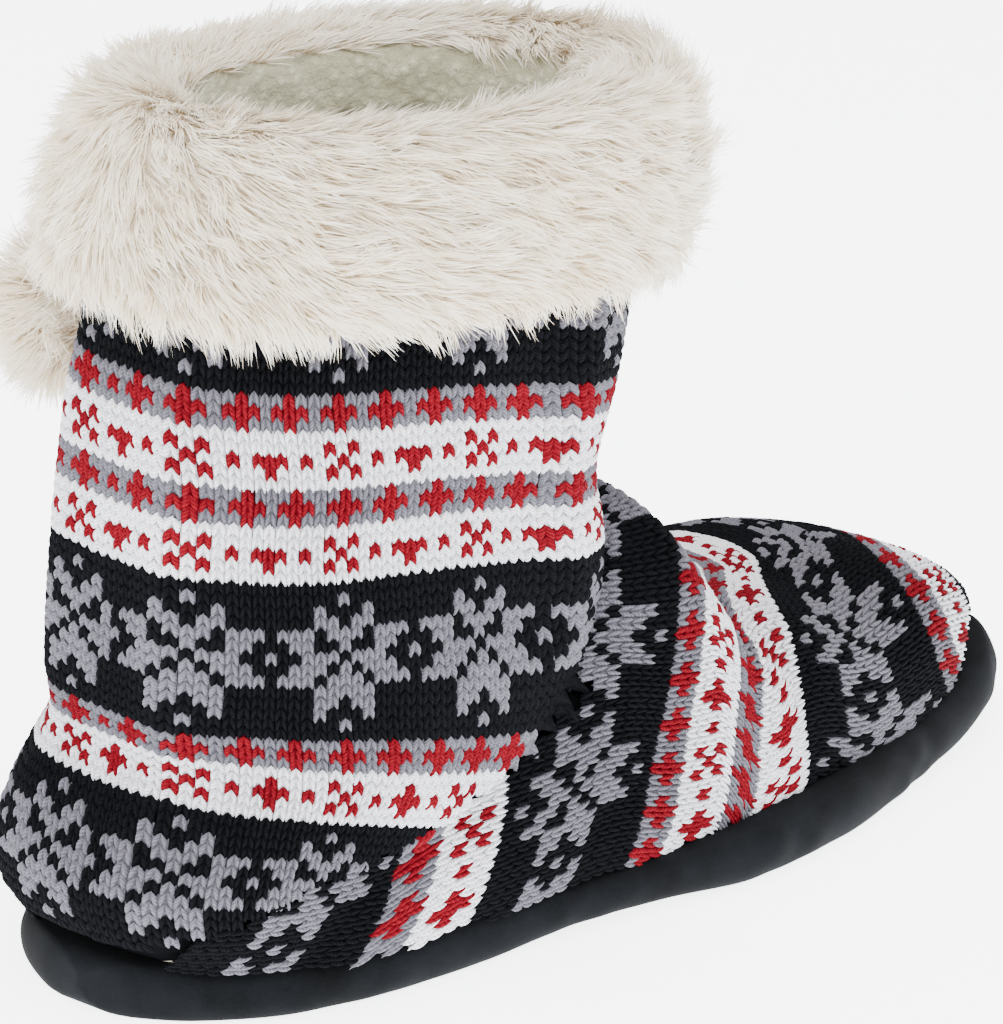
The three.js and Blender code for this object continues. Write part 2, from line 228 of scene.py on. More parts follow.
@dataclass
class Last:
    """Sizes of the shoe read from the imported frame, in metres."""

    heel: float = field(default_factory=lambda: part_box("outsole")[0].x)
    length: float = field(default_factory=lambda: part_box("outsole")[1].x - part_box("outsole")[0].x)
    ball_width: float = field(default_factory=lambda: -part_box("outsole")[0].y / 0.522)
    leg_height: float = field(default_factory=lambda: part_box("upper")[1].z)
    sole_thickness: float = 11 * MM
    forefoot_extra: float = 1.2 * MM
    arch_rise: float = 1.6 * MM
    toe_spring: float = 6.5 * MM
    edge_roll: float = 5 * MM
    spring_from: float = 0.72

    def share(self, x: Array) -> Array:
        """Share of the sole's length at a place along the shoe."""
        return (x - self.heel) / self.length

    def spring(self, share: Array) -> Array:
        """Height that the toe spring adds."""
        reach = np.clip((share - self.spring_from) / (1 - self.spring_from), 0, 1)
        return self.toe_spring * reach**2

    def sole_top(self, share: Array) -> Array:
        """Height of the sole's upper face."""
        return self.sole_thickness + self.forefoot_extra * smoothstep(share, 0.4, 0.62) + self.spring(share)

    def sole_bottom(self, share: Array) -> Array:
        """Height of the sole's lower face."""
        arch = smoothstep(share, 0.27, 0.38) - smoothstep(share, 0.42, 0.53)
        return self.arch_rise * arch + self.spring(share)


@dataclass
class Skin:
    """A smooth surface sampled on a regular grid of two parameters."""

    first: Array
    second: Array
    points: Array
    facing: float = 1.0

    def __post_init__(self) -> None:
        """Works out the outward directions on the grid."""
        along = np.gradient(self.points, axis=0)
        sideways = np.gradient(self.points, axis=1)
        self.outward = self.facing * unit(np.cross(sideways, along))

    def _read(self, values: Array, a: Array, b: Array) -> Array:
        """Bilinear value at the parameters a and b."""
        i = np.clip((a - self.first[0]) / (self.first[1] - self.first[0]), 0, len(self.first) - 1.001)
        j = np.clip((b - self.second[0]) / (self.second[1] - self.second[0]), 0, len(self.second) - 1.001)
        low, left = i.astype(int), j.astype(int)
        s, t = (i - low)[..., None], (j - left)[..., None]
        near = values[low, left] * (1 - t) + values[low, left + 1] * t
        far = values[low + 1, left] * (1 - t) + values[low + 1, left + 1] * t
        return near * (1 - s) + far * s

    def at(self, a: Array, b: Array, lift: Array = 0.0) -> Array:
        """Points of the surface, lifted outwards.

        Args:
            a: first parameter.
            b: second parameter.
            lift: distance outwards, in metres.

        Returns:
            The points.
        """
        point = self._read(self.points, a, b)
        return point + self._read(self.outward, a, b) * np.asarray(lift)[..., None]


class LegForm:
    """Leg and heel of the upper: a stack of rounded levels that lean as the photo shows."""

    ARC_STEPS = 361
    LEVELS = 162

    def __init__(self, last: Last) -> None:
        """Reads the level table."""
        self.last = last
        self.read = columns(LEG_ROWS)

    def point(self, share: Array, angle: Array, out: Array = 0.0) -> Array:
        """Points at a height share and an angle, moved outwards by a distance."""
        size, read = self.last, self.read
        reach_x, reach_y = np.cos(angle), np.sin(angle)
        length = np.where(reach_x < 0, read["back"](share), read["front"](share)) * size.length
        width = np.where(reach_y < 0, read["medial"](share), read["lateral"](share)) * size.ball_width
        power = 2 / read["square"](share)
        x, y = signed_power(reach_x, power) * length, signed_power(reach_y, power) * width
        normal = unit(np.stack([x / length**2, y / width**2], -1))
        x, y = x + normal[..., 0] * out, y + normal[..., 1] * out
        turn = np.radians(read["turn"](share))
        middle = read["middle"](share) * size.length + size.heel
        turned_x = middle + x * np.cos(turn) - y * np.sin(turn)
        turned_y = x * np.sin(turn) + y * np.cos(turn)
        return np.stack([turned_x, turned_y, share * size.leg_height + 0 * x], -1)

    def depth(self, points: Array) -> Array:
        """How far out points lie, as a share of the level's own outline: under 1 is inside."""
        size, read = self.last, self.read
        share = np.clip(points[..., 2] / size.leg_height, 0, 1)
        turn = np.radians(read["turn"](share))
        dx = points[..., 0] - (read["middle"](share) * size.length + size.heel)
        dy = points[..., 1]
        x = dx * np.cos(turn) + dy * np.sin(turn)
        y = dy * np.cos(turn) - dx * np.sin(turn)
        length = np.where(x < 0, read["back"](share), read["front"](share)) * size.length
        width = np.where(y < 0, read["medial"](share), read["lateral"](share)) * size.ball_width
        square = read["square"](share)
        return (np.abs(x / length) ** square + np.abs(y / width) ** square) ** (1 / square)

    def skin(self, out: float = 0.0) -> Skin:
        """Surface over the height share and the share of the way round from the back, medial side first."""
        shares = np.linspace(0, 1, self.LEVELS)
        arcs = np.linspace(0, 1, self.ARC_STEPS)
        angle = math.pi + np.linspace(0, 2 * math.pi, 4 * self.ARC_STEPS)
        points = np.empty((len(shares), len(arcs), 3))
        for i, share in enumerate(shares):
            ring = self.point(np.full_like(angle, share), angle, out)
            way = ways_along(ring)
            points[i] = points_at(arcs * way[-1], way, ring)
        return Skin(shares, arcs, points)


class VampForm:
    """Foot part of the upper: upright sections along the shoe."""

    SQUARE_TOP = 2.7
    SQUARE_LOW = 2.2
    WAIST = 0.149
    TOE_WAIST = 0.42
    ROOT = 12 * MM
    SECTIONS = 260
    REACH = 110 * MM
    ARC_STEPS = 221
    RING_STEPS = 1601
    FAR_OUT = 9.0

    def __init__(self, last: Last) -> None:
        """Reads the section table."""
        self.last = last
        self.read = columns(VAMP_ROWS)

    def _section(self, share: Array, side: Array) -> tuple[Array, Array, Array]:
        """Half-width, top and widest height of the sections."""
        width = np.where(side < 0, self.read["medial"](share), self.read["lateral"](share))
        top = self.read["top"](share) * self.last.leg_height
        ground = self.last.sole_top(share)
        waist = np.minimum(self.WAIST * self.last.leg_height, ground + self.TOE_WAIST * (top - ground))
        return width * self.last.ball_width, top, waist

    def point(self, share: Array, angle: Array, out: float = 0.0) -> Array:
        """Points at a share of the length and an angle from the crown, positive towards the outer side."""
        side = np.sin(angle)
        width, top, waist = self._section(share, side)
        upward = np.cos(angle)
        power = np.where(upward >= 0, 2 / self.SQUARE_TOP, 2 / self.SQUARE_LOW)
        tall = np.where(upward >= 0, top - waist, waist + self.ROOT) + out
        y = signed_power(side, power) * (width + out)
        x = share * self.last.length + self.last.heel + 0 * y
        return np.stack([x, y, waist + signed_power(upward, power) * tall], -1)

    def depth(self, points: Array) -> Array:
        """How far out points lie, as a share of the section's own outline: under 1 is inside."""
        share = self.last.share(points[..., 0])
        width, top, waist = self._section(share, points[..., 1])
        over = points[..., 2] >= waist
        tall = np.where(over, top - waist, waist + self.ROOT)
        square = np.where(over, self.SQUARE_TOP, self.SQUARE_LOW)
        ratio = np.abs(points[..., 1] / width) ** square + np.abs((points[..., 2] - waist) / tall) ** square
        outside = (share < VAMP_ROWS[0].at) | (share > VAMP_ROWS[-1].at)
        return np.where(outside, self.FAR_OUT, ratio ** (1 / square))

    def skin(self, out: float = 0.0) -> Skin:
        """Surface over the share of the length and the way from the crown in metres, outer side positive."""
        shares = np.linspace(VAMP_ROWS[0].at, VAMP_ROWS[-1].at, self.SECTIONS)
        ways = np.linspace(-self.REACH, self.REACH, self.ARC_STEPS)
        angle = np.linspace(-math.pi, math.pi, self.RING_STEPS)
        points = np.empty((len(shares), len(ways), 3))
        for i, share in enumerate(shares):
            ring = self.point(np.full_like(angle, share), angle, out)
            way = ways_along(ring)
            points[i] = points_at(ways, way - np.interp(0.0, angle, way), ring)
        return Skin(shares, ways, points, facing=-1.0)


# Mesh helpers


@dataclass
class GridPiece:
    """A mesh made from one bmesh grid whose points are laid on a surface."""

    name: str
    columns: int
    rows: int
    place: Callable[[Array, Array], Array]
    keep: Optional[Callable[[Array, Array], Array]] = None
    colour: Optional[Callable[[Array, Array], Array]] = None
    texture: Optional[Callable[[Array, Array], tuple[Array, Array]]] = None
    weld: bool = False

    def build(self, materials: Sequence[bpy.types.Material]) -> bpy.types.Object:
        """Makes the object with its faces, colours and texture coordinates.

        Args:
            materials: materials in the order that colour() numbers them.

        Returns:
            The linked object.
        """
        bm = bmesh.new()
        bmesh.ops.create_grid(bm, x_segments=self.columns, y_segments=self.rows, size=1.0)
        if self.keep is not None:
            centre = np.array([face.calc_center_median()[:2] for face in bm.faces])
            cell = np.floor((centre + 1) / 2 * (self.columns, self.rows)).astype(int)
            kept = self.keep(cell[:, 0], cell[:, 1])
            spare = [face for face, stays in zip(bm.faces, kept) if not stays]
            bmesh.ops.delete(bm, geom=spare, context="FACES")
        mesh = meshed(bm, self.name)
        self._lay(mesh)
        for material in materials:
            mesh.materials.append(material)
        if self.weld:
            weld(mesh)
        mesh.update()
        return linked(self.name, mesh)

    def _lay(self, mesh: bpy.types.Mesh) -> None:
        """Moves the grid's points to their places and writes the face colours and the texture map."""
        flat = read_vectors(mesh.vertices, "co")
        col = np.rint((flat[:, 0] + 1) / 2 * self.columns).astype(int)
        row = np.rint((flat[:, 1] + 1) / 2 * self.rows).astype(int)
        mesh.vertices.foreach_set("co", self.place(col, row).astype(np.float32).ravel())
        corner = np.empty(len(mesh.loops), int)
        mesh.loops.foreach_get("vertex_index", corner)
        quads = corner.reshape(-1, 4)
        if self.colour is not None:
            number = self.colour(col[quads].min(1), row[quads].min(1))
            mesh.polygons.foreach_set("material_index", number.astype(np.int32))
        mesh.polygons.foreach_set("use_smooth", np.ones(len(quads), bool))
        if self.texture is not None:
            layer = mesh.uv_layers.new(name="UVMap")
            u, v = self.texture(col[corner], row[corner])
            layer.data.foreach_set("uv", np.stack([u, v], -1).astype(np.float32).ravel())


def meshed(bm: bmesh.types.BMesh, name: str) -> bpy.types.Mesh:
    """A new mesh with the faces of a bmesh, which is freed."""
    mesh = bpy.data.meshes.new(name)
    bm.to_mesh(mesh)
    bm.free()
    return mesh


def linked(name: str, data: bpy.types.ID) -> bpy.types.Object:
    """A new object in the scene."""
    obj = bpy.data.objects.new(name, data)
    bpy.context.scene.collection.objects.link(obj)
    return obj


def read_vectors(items: bpy.types.bpy_prop_collection, name: str) -> Array:
    """A vector property of all items."""
    flat = np.empty(len(items) * 3)
    items.foreach_get(name, flat)
    return flat.reshape(-1, 3)


def weld(mesh: bpy.types.Mesh, distance: float = 0.02 * MM) -> None:
    """Joins points that lie on each other and turns the faces outwards."""
    bm = bmesh.new()
    bm.from_mesh(mesh)
    bmesh.ops.remove_doubles(bm, verts=bm.verts, dist=distance)
    bmesh.ops.dissolve_degenerate(bm, dist=distance / 4, edges=bm.edges)
    bmesh.ops.recalc_face_normals(bm, faces=bm.faces)
    bm.to_mesh(mesh)
    bm.free()


def ride_as(obj: bpy.types.Object, slot: Slot, *nodes: str) -> bpy.types.Object:
    """Ties a finished piece to the shoe's body and hides the nodes it stands for."""
    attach(obj, "root")
    if nodes:
        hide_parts(*nodes)
    LOG.info("%s: %d faces", obj.name, len(obj.data.polygons))
    return obj


# Materials


def linear(hex_colour: str) -> tuple[float, float, float, float]:
    """Linear colour of an sRGB hex value."""
    parts = [int(hex_colour[i : i + 2], 16) / 255 for i in (1, 3, 5)]
    return tuple(c / 12.92 if c <= 0.04045 else ((c + 0.055) / 1.055) ** 2.4 for c in parts) + (1.0,)


# Typical of acrylic and polyester
FIBRE_IOR = 1.5


def add_node(tree: bpy.types.NodeTree, kind: str, settings: dict, links: dict) -> bpy.types.Node:
    """Adds a shader node.

    Args:
        tree: node tree of the material.
        kind: node type, without its common prefix.
        settings: node properties by name, input values by socket name, and the stops of a colour ramp, each its
            place and sRGB colour.
        links: output sockets by the name of the input that they feed.

    Returns:
        The node.
    """
    node = tree.nodes.new("ShaderNode" + kind)
    for name, value in settings.items():
        if name == "stops":
            elements = node.color_ramp.elements
            while len(elements) < len(value):
                elements.new(0.5)
            for element, (place, colour) in zip(elements, value):
                element.position = place
                element.color = linear(colour)
        elif isinstance(name, int) or name in node.inputs:
            node.inputs[name].default_value = value
        else:
            setattr(node, name, value)
    for name, source in links.items():
        tree.links.new(source, node.inputs[name])
    return node


@dataclass(frozen=True)
class Finish:
    """A material of its own name, with a surface that each kind of finish makes."""

    name: str

    def build(self) -> bpy.types.Material:
        """Makes the material."""
        material = bpy.data.materials.new(self.name)
        material.use_nodes = True
        tree = material.node_tree
        tree.nodes.clear()
        surface = self._surface(tree, add_node(tree, "TexCoord", {}, {}).outputs)
        add_node(tree, "OutputMaterial", {}, {"Surface": surface})
        return material


@dataclass(frozen=True)
class YarnFinish(Finish):
    """Brushed acrylic yarn: matt, slightly hairy plies that twist round each other, with painted shade in the grooves
    between them.
    """

    colour: str
    # Painted shade of the yarn, in the grooves between its plies and stray fibres
    shade: str
    sheen: float
    specular: float = 0.1
    ply_scale: float = 0.15 * math.pi
    ply_turn: float = math.radians(28)
    hair: float = 3200
    patch: float = 45

    def _surface(self, tree: bpy.types.NodeTree, spot: Sockets) -> Socket:
        """Surface of the yarn."""
        # The twist of the plies shows as slanted ribs across each stitch leg
        turn = add_node(tree, "Mapping", {"Rotation": (0, 0, self.ply_turn)}, {"Vector": spot["UV"]})
        settings = {"wave_type": "BANDS", "bands_direction": "Y", "Distortion": 1.2, "Detail": 2.0}
        settings["Scale"] = self.ply_scale
        plies = add_node(tree, "TexWave", settings, {"Vector": turn.outputs["Vector"]})
        # Single fibres that stray from the twist
        settings = {"Scale": self.hair, "Detail": 3.0, "Roughness": 0.7}
        hairs = add_node(tree, "TexNoise", settings, {"Vector": spot["Object"]})
        links = {0: plies.outputs["Fac"], 2: hairs.outputs["Fac"]}
        mixed = add_node(tree, "Math", {"operation": "MULTIPLY_ADD", 1: 0.3}, links).outputs[0]
        tone = add_node(tree, "Math", {"operation": "MULTIPLY", 1: 0.78}, {0: mixed})
        # Painted shade: the colour darkens to the shade stop along the grooves between plies and between stray fibres
        stops = ((0.25, self.shade), (0.62, self.colour))
        colour = add_node(tree, "ValToRGB", {"stops": stops}, {"Fac": tone.outputs[0]})
        # Unevenness of the dye
        patch = add_node(tree, "TexNoise", {"Scale": self.patch, "Detail": 3.0}, {"Vector": spot["Object"]})
        settings = {"From Min": 0.3, "From Max": 0.7, "To Min": 0.9, "To Max": 1.08}
        light = add_node(tree, "MapRange", settings, {"Value": patch.outputs["Fac"]})
        links = {"Color": colour.outputs["Color"], "Value": light.outputs["Result"]}
        worn = add_node(tree, "HueSaturation", {"Saturation": 0.97}, links)
        bump = add_node(tree, "Bump", {"Strength": 0.5, "Distance": 0.2 * MM}, {"Height": mixed})
        settings = {"Roughness": 0.9, "IOR": FIBRE_IOR, "Specular IOR Level": self.specular}
        settings |= {"Sheen Weight": self.sheen, "Sheen Roughness": 0.5}
        links = {"Base Color": worn.outputs["Color"], "Normal": bump.outputs["Normal"]}
        return add_node(tree, "BsdfPrincipled", settings, links).outputs["BSDF"]


@dataclass(frozen=True)
class FurFinish(Finish):
    """Acrylic faux fur: soft cream hairs, pale at the tip, with painted shade that darkens them to tan towards the
    root.
    """

    root: str
    middle: str
    tip: str
    warm: str
    patch: float = 26
    glow: float = 0.25

    def _surface(self, tree: bpy.types.NodeTree, spot: Sockets) -> Socket:
        """Surface that reads the hair's own map: tone across, root to tip upwards."""
        parts = add_node(tree, "SeparateXYZ", {}, {"Vector": spot["UV"]}).outputs
        # Painted shade: the hair darkens from its pale tip to tan at its root, deep in the pile
        stops = ((0.0, self.root), (0.35, self.middle), (0.85, self.tip))
        along = add_node(tree, "ValToRGB", {"stops": stops}, {"Fac": parts["Y"]})
        settings = {"Scale": self.patch, "Detail": 3.0, "Roughness": 0.6}
        patch = add_node(tree, "TexNoise", settings, {"Vector": spot["Object"]})
        blend = add_node(tree, "Math", {"operation": "MULTIPLY"}, {0: patch.outputs["Fac"], 1: parts["X"]})
        settings = {"From Min": 0.12, "From Max": 0.5, "To Min": 0.0, "To Max": 0.65}
        amount = add_node(tree, "MapRange", settings, {"Value": blend.outputs[0]})
        settings = {"data_type": "RGBA", 7: linear(self.warm)}
        links = {"Factor": amount.outputs["Result"], 6: along.outputs["Color"]}
        colour = add_node(tree, "Mix", settings, links).outputs[2]
        settings = {"Roughness": 0.7, "IOR": FIBRE_IOR, "Specular IOR Level": 0.15}
        settings |= {"Sheen Weight": 0.15, "Sheen Roughness": 0.5}
        hair = add_node(tree, "BsdfPrincipled", settings, {"Base Color": colour})
        # Light that passes through the fibres softens the shadows between them
        through = add_node(tree, "BsdfTranslucent", {}, {"Color": colour})
        links = {1: hair.outputs["BSDF"], 2: through.outputs["BSDF"]}
        return add_node(tree, "MixShader", {"Fac": self.glow}, links).outputs["Shader"]


@dataclass(frozen=True)
class FleeceFinish(Finish):
    """Curly sherpa fleece of polyester: small matt knots with painted shadow between them."""

    colour: str
    # Painted shadow of the fleece, between its knots
    shade: str
    curl: float = 2.2 * MM

    def _surface(self, tree: bpy.types.NodeTree, spot: Sockets) -> Socket:
        """Surface of the fleece."""
        knots = add_node(tree, "TexVoronoi", {"Scale": 1 / self.curl, "Randomness": 1.0}, {"Vector": spot["Object"]})
        settings = {"Scale": 3 / self.curl, "Detail": 4.0, "Roughness": 0.7}
        fuzz = add_node(tree, "TexNoise", settings, {"Vector": spot["Object"]})
        links = {0: fuzz.outputs["Fac"], 1: knots.outputs["Distance"]}
        height = add_node(tree, "Math", {"operation": "SUBTRACT"}, links).outputs[0]
        # Painted shadow: the colour darkens to the shade stop between the knots
        stops = ((0.0, self.shade), (0.5, self.colour))
        colour = add_node(tree, "ValToRGB", {"stops": stops}, {"Fac": height})
        bump = add_node(tree, "Bump", {"Strength": 0.8, "Distance": 0.8 * MM}, {"Height": height})
        settings = {"Roughness": 0.95, "IOR": FIBRE_IOR, "Specular IOR Level": 0.2}
        settings |= {"Sheen Weight": 0.3, "Sheen Roughness": 0.6}
        links = {"Base Color": colour.outputs["Color"], "Normal": bump.outputs["Normal"]}
        return add_node(tree, "BsdfPrincipled", settings, links).outputs["BSDF"]


@dataclass(frozen=True)
class SuedeFinish(Finish):
    """Black microsuede of brushed polyester: a short nap that lies in soft patches."""

    colour: str
    shade: str
    nap: float = 0.5 * MM
    patch: float = 60

    def _surface(self, tree: bpy.types.NodeTree, spot: Sockets) -> Socket:
        """Surface of the suede."""
        settings = {"Scale": 1 / self.nap, "Detail": 5.0, "Roughness": 0.75}
        nap = add_node(tree, "TexNoise", settings, {"Vector": spot["Object"]})
        settings = {"Scale": self.patch, "Detail": 4.0, "Roughness": 0.6}
        patch = add_node(tree, "TexNoise", settings, {"Vector": spot["Object"]})
        links = {0: nap.outputs["Fac"], 2: patch.outputs["Fac"]}
        both = add_node(tree, "Math", {"operation": "MULTIPLY_ADD", 1: 0.45}, links).outputs[0]
        stops = ((0.5, self.shade), (0.95, self.colour))
        colour = add_node(tree, "ValToRGB", {"stops": stops}, {"Fac": both})
        bump = add_node(tree, "Bump", {"Strength": 0.6, "Distance": 0.35 * MM}, {"Height": both})
        settings = {"Roughness": 0.92, "IOR": FIBRE_IOR, "Specular IOR Level": 0.04}
        settings |= {"Sheen Weight": 0.02, "Sheen Roughness": 0.45}
        links = {"Base Color": colour.outputs["Color"], "Normal": bump.outputs["Normal"]}
        return add_node(tree, "BsdfPrincipled", settings, links).outputs["BSDF"]


@dataclass(frozen=True)
class FloorFinish(Finish):
    """Matt white paper, lit from below as on a light table."""

    colour: str = "#F4F6F8"
    glow: float = 5.0

    def _surface(self, tree: bpy.types.NodeTree, spot: Sockets) -> Socket:
        """Surface of the paper."""
        colour = linear(self.colour)
        settings = {"Base Color": colour, "Emission Color": colour, "Emission Strength": self.glow}
        settings |= {"Roughness": 0.9, "Specular IOR Level": 0.1}
        return add_node(tree, "BsdfPrincipled", settings, {}).outputs["BSDF"]


# Knit


# Bands of colour, the first row nearest the cuff or the ankle. One letter a stitch over the twelve wales of a
# repeat: k black, g grey, r red, w white
GREY_BAND = ("ggrgggrgggrg", "grrrgrrrgrrr", "ggrgggrgggrg")
WHITE_BAND = ("wwwwwwwwwwww", "wwwwwrwrwwww", "rrwrwwrwwrwr", "rwwwwrwrwwww", "wwwwwwwwwwww")
CROSS_BAND = ("wwwwwwwwwwww", "rwwwwrwrwwww", "rrwrwwrwwrwr", "rwwwwrwrwwww", "wwwwwwwwwwww")
STAR_BAND = (
    "kkkkkkkkkkkk",
    "kkkkkkgkkkkk",
    "kkkkgkkkgkkk",
    "kkkkggkggkkk",
    "kgggkgggkggg",
    "kkggkkgkkggk",
    "gkkgggkgggkk",
    "kkgggkgkgggk",
    "kgggkgggkggg",
    "kkkkgggggkkk",
    "kkkkggkggkkk",
    "kkkkgkkkgkkk",
    "kkkkkkgkkkkk",
    "kkkkkkkkkkkk",
)
YARN_LETTER = {"k": Yarn.BLACK, "g": Yarn.GREY, "r": Yarn.RED, "w": Yarn.WHITE}


@dataclass
class Chart:
    """Stacked bands of the knit, read by course and wale."""

    bands: Sequence[tuple[str, ...]]
    first: int

    def __post_init__(self) -> None:
        """Stacks the rows of the bands."""
        rows = [row for rows in self.bands for row in rows]
        self.table = np.array([[YARN_LETTER[letter].value for letter in row] for row in rows])

    def yarn(self, course: Array, wale: Array) -> Array:
        """Number of the yarn at each course and wale."""
        row = np.clip(course - self.first, 0, len(self.table) - 1)
        return self.table[row, np.mod(wale, self.table.shape[1])]


class CourseRow(NamedTuple):
    """A course of the leg: its height at the back, and where and how steeply it drops to the front."""

    at: float
    height: float
    drop_from: float
    slope: float


COURSE_ROWS = table(
    CourseRow,
    (-14, 147.5, 10, 0.19), (0, 117.6, 10, 0.19), (15, 85.6, 10, 0.19), (30, 54.8, -12, 0.225),
    (37, 43.4, -24, 0.27), (45, 29.5, -28, 0.27), (54, 11.0, -28, 0.27),
)


class WaleRow(NamedTuple):
    """A wale of the leg, counted from the back seam: its share of the way round at the collar."""

    at: float
    collar: float


WALE_ROWS = table(
    WaleRow,
    (0, 0.004), (2, 0.0178), (6, 0.0576), (10, 0.092), (14, 0.1211), (18, 0.1506), (22, 0.1797),
    (26, 0.2129), (30, 0.247), (34, 0.2837), (38, 0.3366), (42, 0.385), (54, 0.5), (66, 0.615), (78, 0.735),
    (90, 0.85), (106, 1.004),
)


class TwistRow(NamedTuple):
    """How far the wales drift round the leg at a height in mm: behind and in front, as shares of the way round."""

    at: float
    behind: float
    before: float


TWIST_ROWS = table(
    TwistRow,
    (0, 0.018, 0.014), (31.6, 0.009, 0.01), (50, -0.0092, 0.006), (70, -0.001, -0.001), (97, 0, 0),
    (120, -0.0146, -0.017), (161, -0.03, -0.035),
)


class VampCourseRow(NamedTuple):
    """A course of the vamp: its place along the shoe, in mm, from the medial sole line over the crown."""

    at: float
    medial_sole: float
    medial_side: float
    medial_top: float
    crown: float
    lateral_top: float
    lateral_side: float
    lateral_sole: float


VAMP_COURSE_AT = (-1.0, -0.68, -0.4, 0.0, 0.4, 0.68, 1.0)
VAMP_COURSE_ROWS = table(
    VampCourseRow,
    (-14, -42, -40, -22, 6, 0, -18, -28), (0, -7, 1.9, 16, 50, 38, 20, 8), (7, 16, 25, 38, 72, 62, 42, 30),
    (22, 62, 71, 86, 115, 114, 98, 84), (37, 115.4, 113.4, 124, 151, 155, 148, 138),
    (52, 181.5, 167.5, 171.5, 186, 191, 188, 185), (60, 207, 196, 196, 206, 210, 210, 209),
    (68, 228, 222, 222, 230, 234, 235, 236),
)


class CourseMark(NamedTuple):
    """Way in metres along the knit at which a course lies."""

    at: float
    arc: float


class VampWaleRow(NamedTuple):
    """Way in mm from the crown down to the row of star centres at a place along the shoe in mm."""

    at: float
    way: float


VAMP_WALE_ROWS = table(
    VampWaleRow,
    (-40, 12), (0, 16), (48, 33), (61, 41.3), (72.5, 49), (84, 52.5), (95, 51), (114.6, 40), (139, 37),
    (164, 31), (185, 25), (210, 12),
)


class SeamRow(NamedTuple):
    """Place along the shoe, in mm, of the seam between leg and vamp at a height in mm."""

    at: float
    along: float


SEAM_ROWS = table(
    SeamRow,
    (10, -48), (15, -43), (19, -39), (22.3, -33), (25.9, -25), (28.9, -16), (30.6, -5), (33, 6), (36, 18),
    (38.5, 30), (44, 43), (48.5, 52.5), (52.4, 58.3), (56, 62), (62, 63), (67, 62), (77, 57), (82, 50),
    (90, 20),
)

CROSSES = (GREY_BAND, CROSS_BAND)
LEG_CHART = Chart((STAR_BAND, *(GREY_BAND, WHITE_BAND) * 2, STAR_BAND, *CROSSES, STAR_BAND), -14)
VAMP_CHART = Chart((*(STAR_BAND, *CROSSES) * 2, STAR_BAND, *CROSSES * 2, STAR_BAND, *CROSSES, STAR_BAND), -36)


def valley(value: Array, middle: Array, width: float) -> Array:
    """Soft bell of height 1 round a middle."""
    return np.exp(-(((value - middle) / width) ** 2))


class Fold(NamedTuple):
    """A soft fold: depth in mm, slant, place and width of its line, and the middle and reach along it."""

    depth: float
    slant: float
    at: float
    width: float
    middle: float
    reach: float


class Upright(NamedTuple):
    """An upright fold of the leg: depth in mm, slant, place and width, and the heights between which it fades in."""

    depth: float
    slant: float
    at: float
    width: float
    low: float
    high: float


# Places across the leg are hundredths of the way round from the back: on the medial side, then on the lateral one
LEG_UPRIGHTS = (
    table(
        Upright,
        (1.5, -0.012, 3.24, 1.6, 18, 60), (1.4, 0.02, 35.2, 1.7, 50, 70), (-1.3, 0.02, 30.6, 2.6, 50, 72),
    ),
    table(Upright, (1.2, 0, 6.5, 2.2, 20, 60), (-1.2, 0, 11.5, 2.8, 25, 60)),
)
LEG_FOLDS = (
    table(
        Fold,
        (0.9, 0.5, 72, 7, 27, 8), (-1.1, 0.6, 86, 5, 29, 7), (-0.8, -0.4, 30, 5, 14, 7), (0.6, 0, 24, 6, 12, 8),
    ),
    table(Fold, (1.0, -0.8, 39.2, 6, 27, 8), (-1.1, -0.8, 50.2, 5, 28, 8)),
)
# Hollow beside the ankle bone: it swings forward at this height
ANKLE_HOLLOW = Upright(-1.3, 0, 8.6, 2.4, 22, 60)
ANKLE_SWING, ANKLE_HEIGHT, ANKLE_REACH = 1.5, 70, 30
# Places along the vamp in mm, and ways from the crown in mm
VAMP_FOLDS = table(
    Fold,
    (0.9, 0.35, 86, 5, -46, 20), (-0.6, 0.35, 97, 6, -40, 20), (-0.7, -0.2, 124, 7, -14, 24),
    (0.6, -0.2, 137, 7, -16, 26), (0.5, 0, 160, 8, -30, 20), (-0.6, 0.3, 112, 7, 30, 22),
    (0.6, 0.3, 127, 8, 34, 24),
)
VAMP_CREASE = Fold(-0.6, -0.15, -79, 5, 62, 26)


def creased(folds: Sequence[Fold], along: Array, beside: Array) -> Array:
    """Sum of folds whose lines are placed by one value and fade along another."""
    total = 0.0
    for f in folds:
        total = total + f.depth * valley(along + f.slant * beside, f.at, f.width) * valley(beside, f.middle, f.reach)
    return total


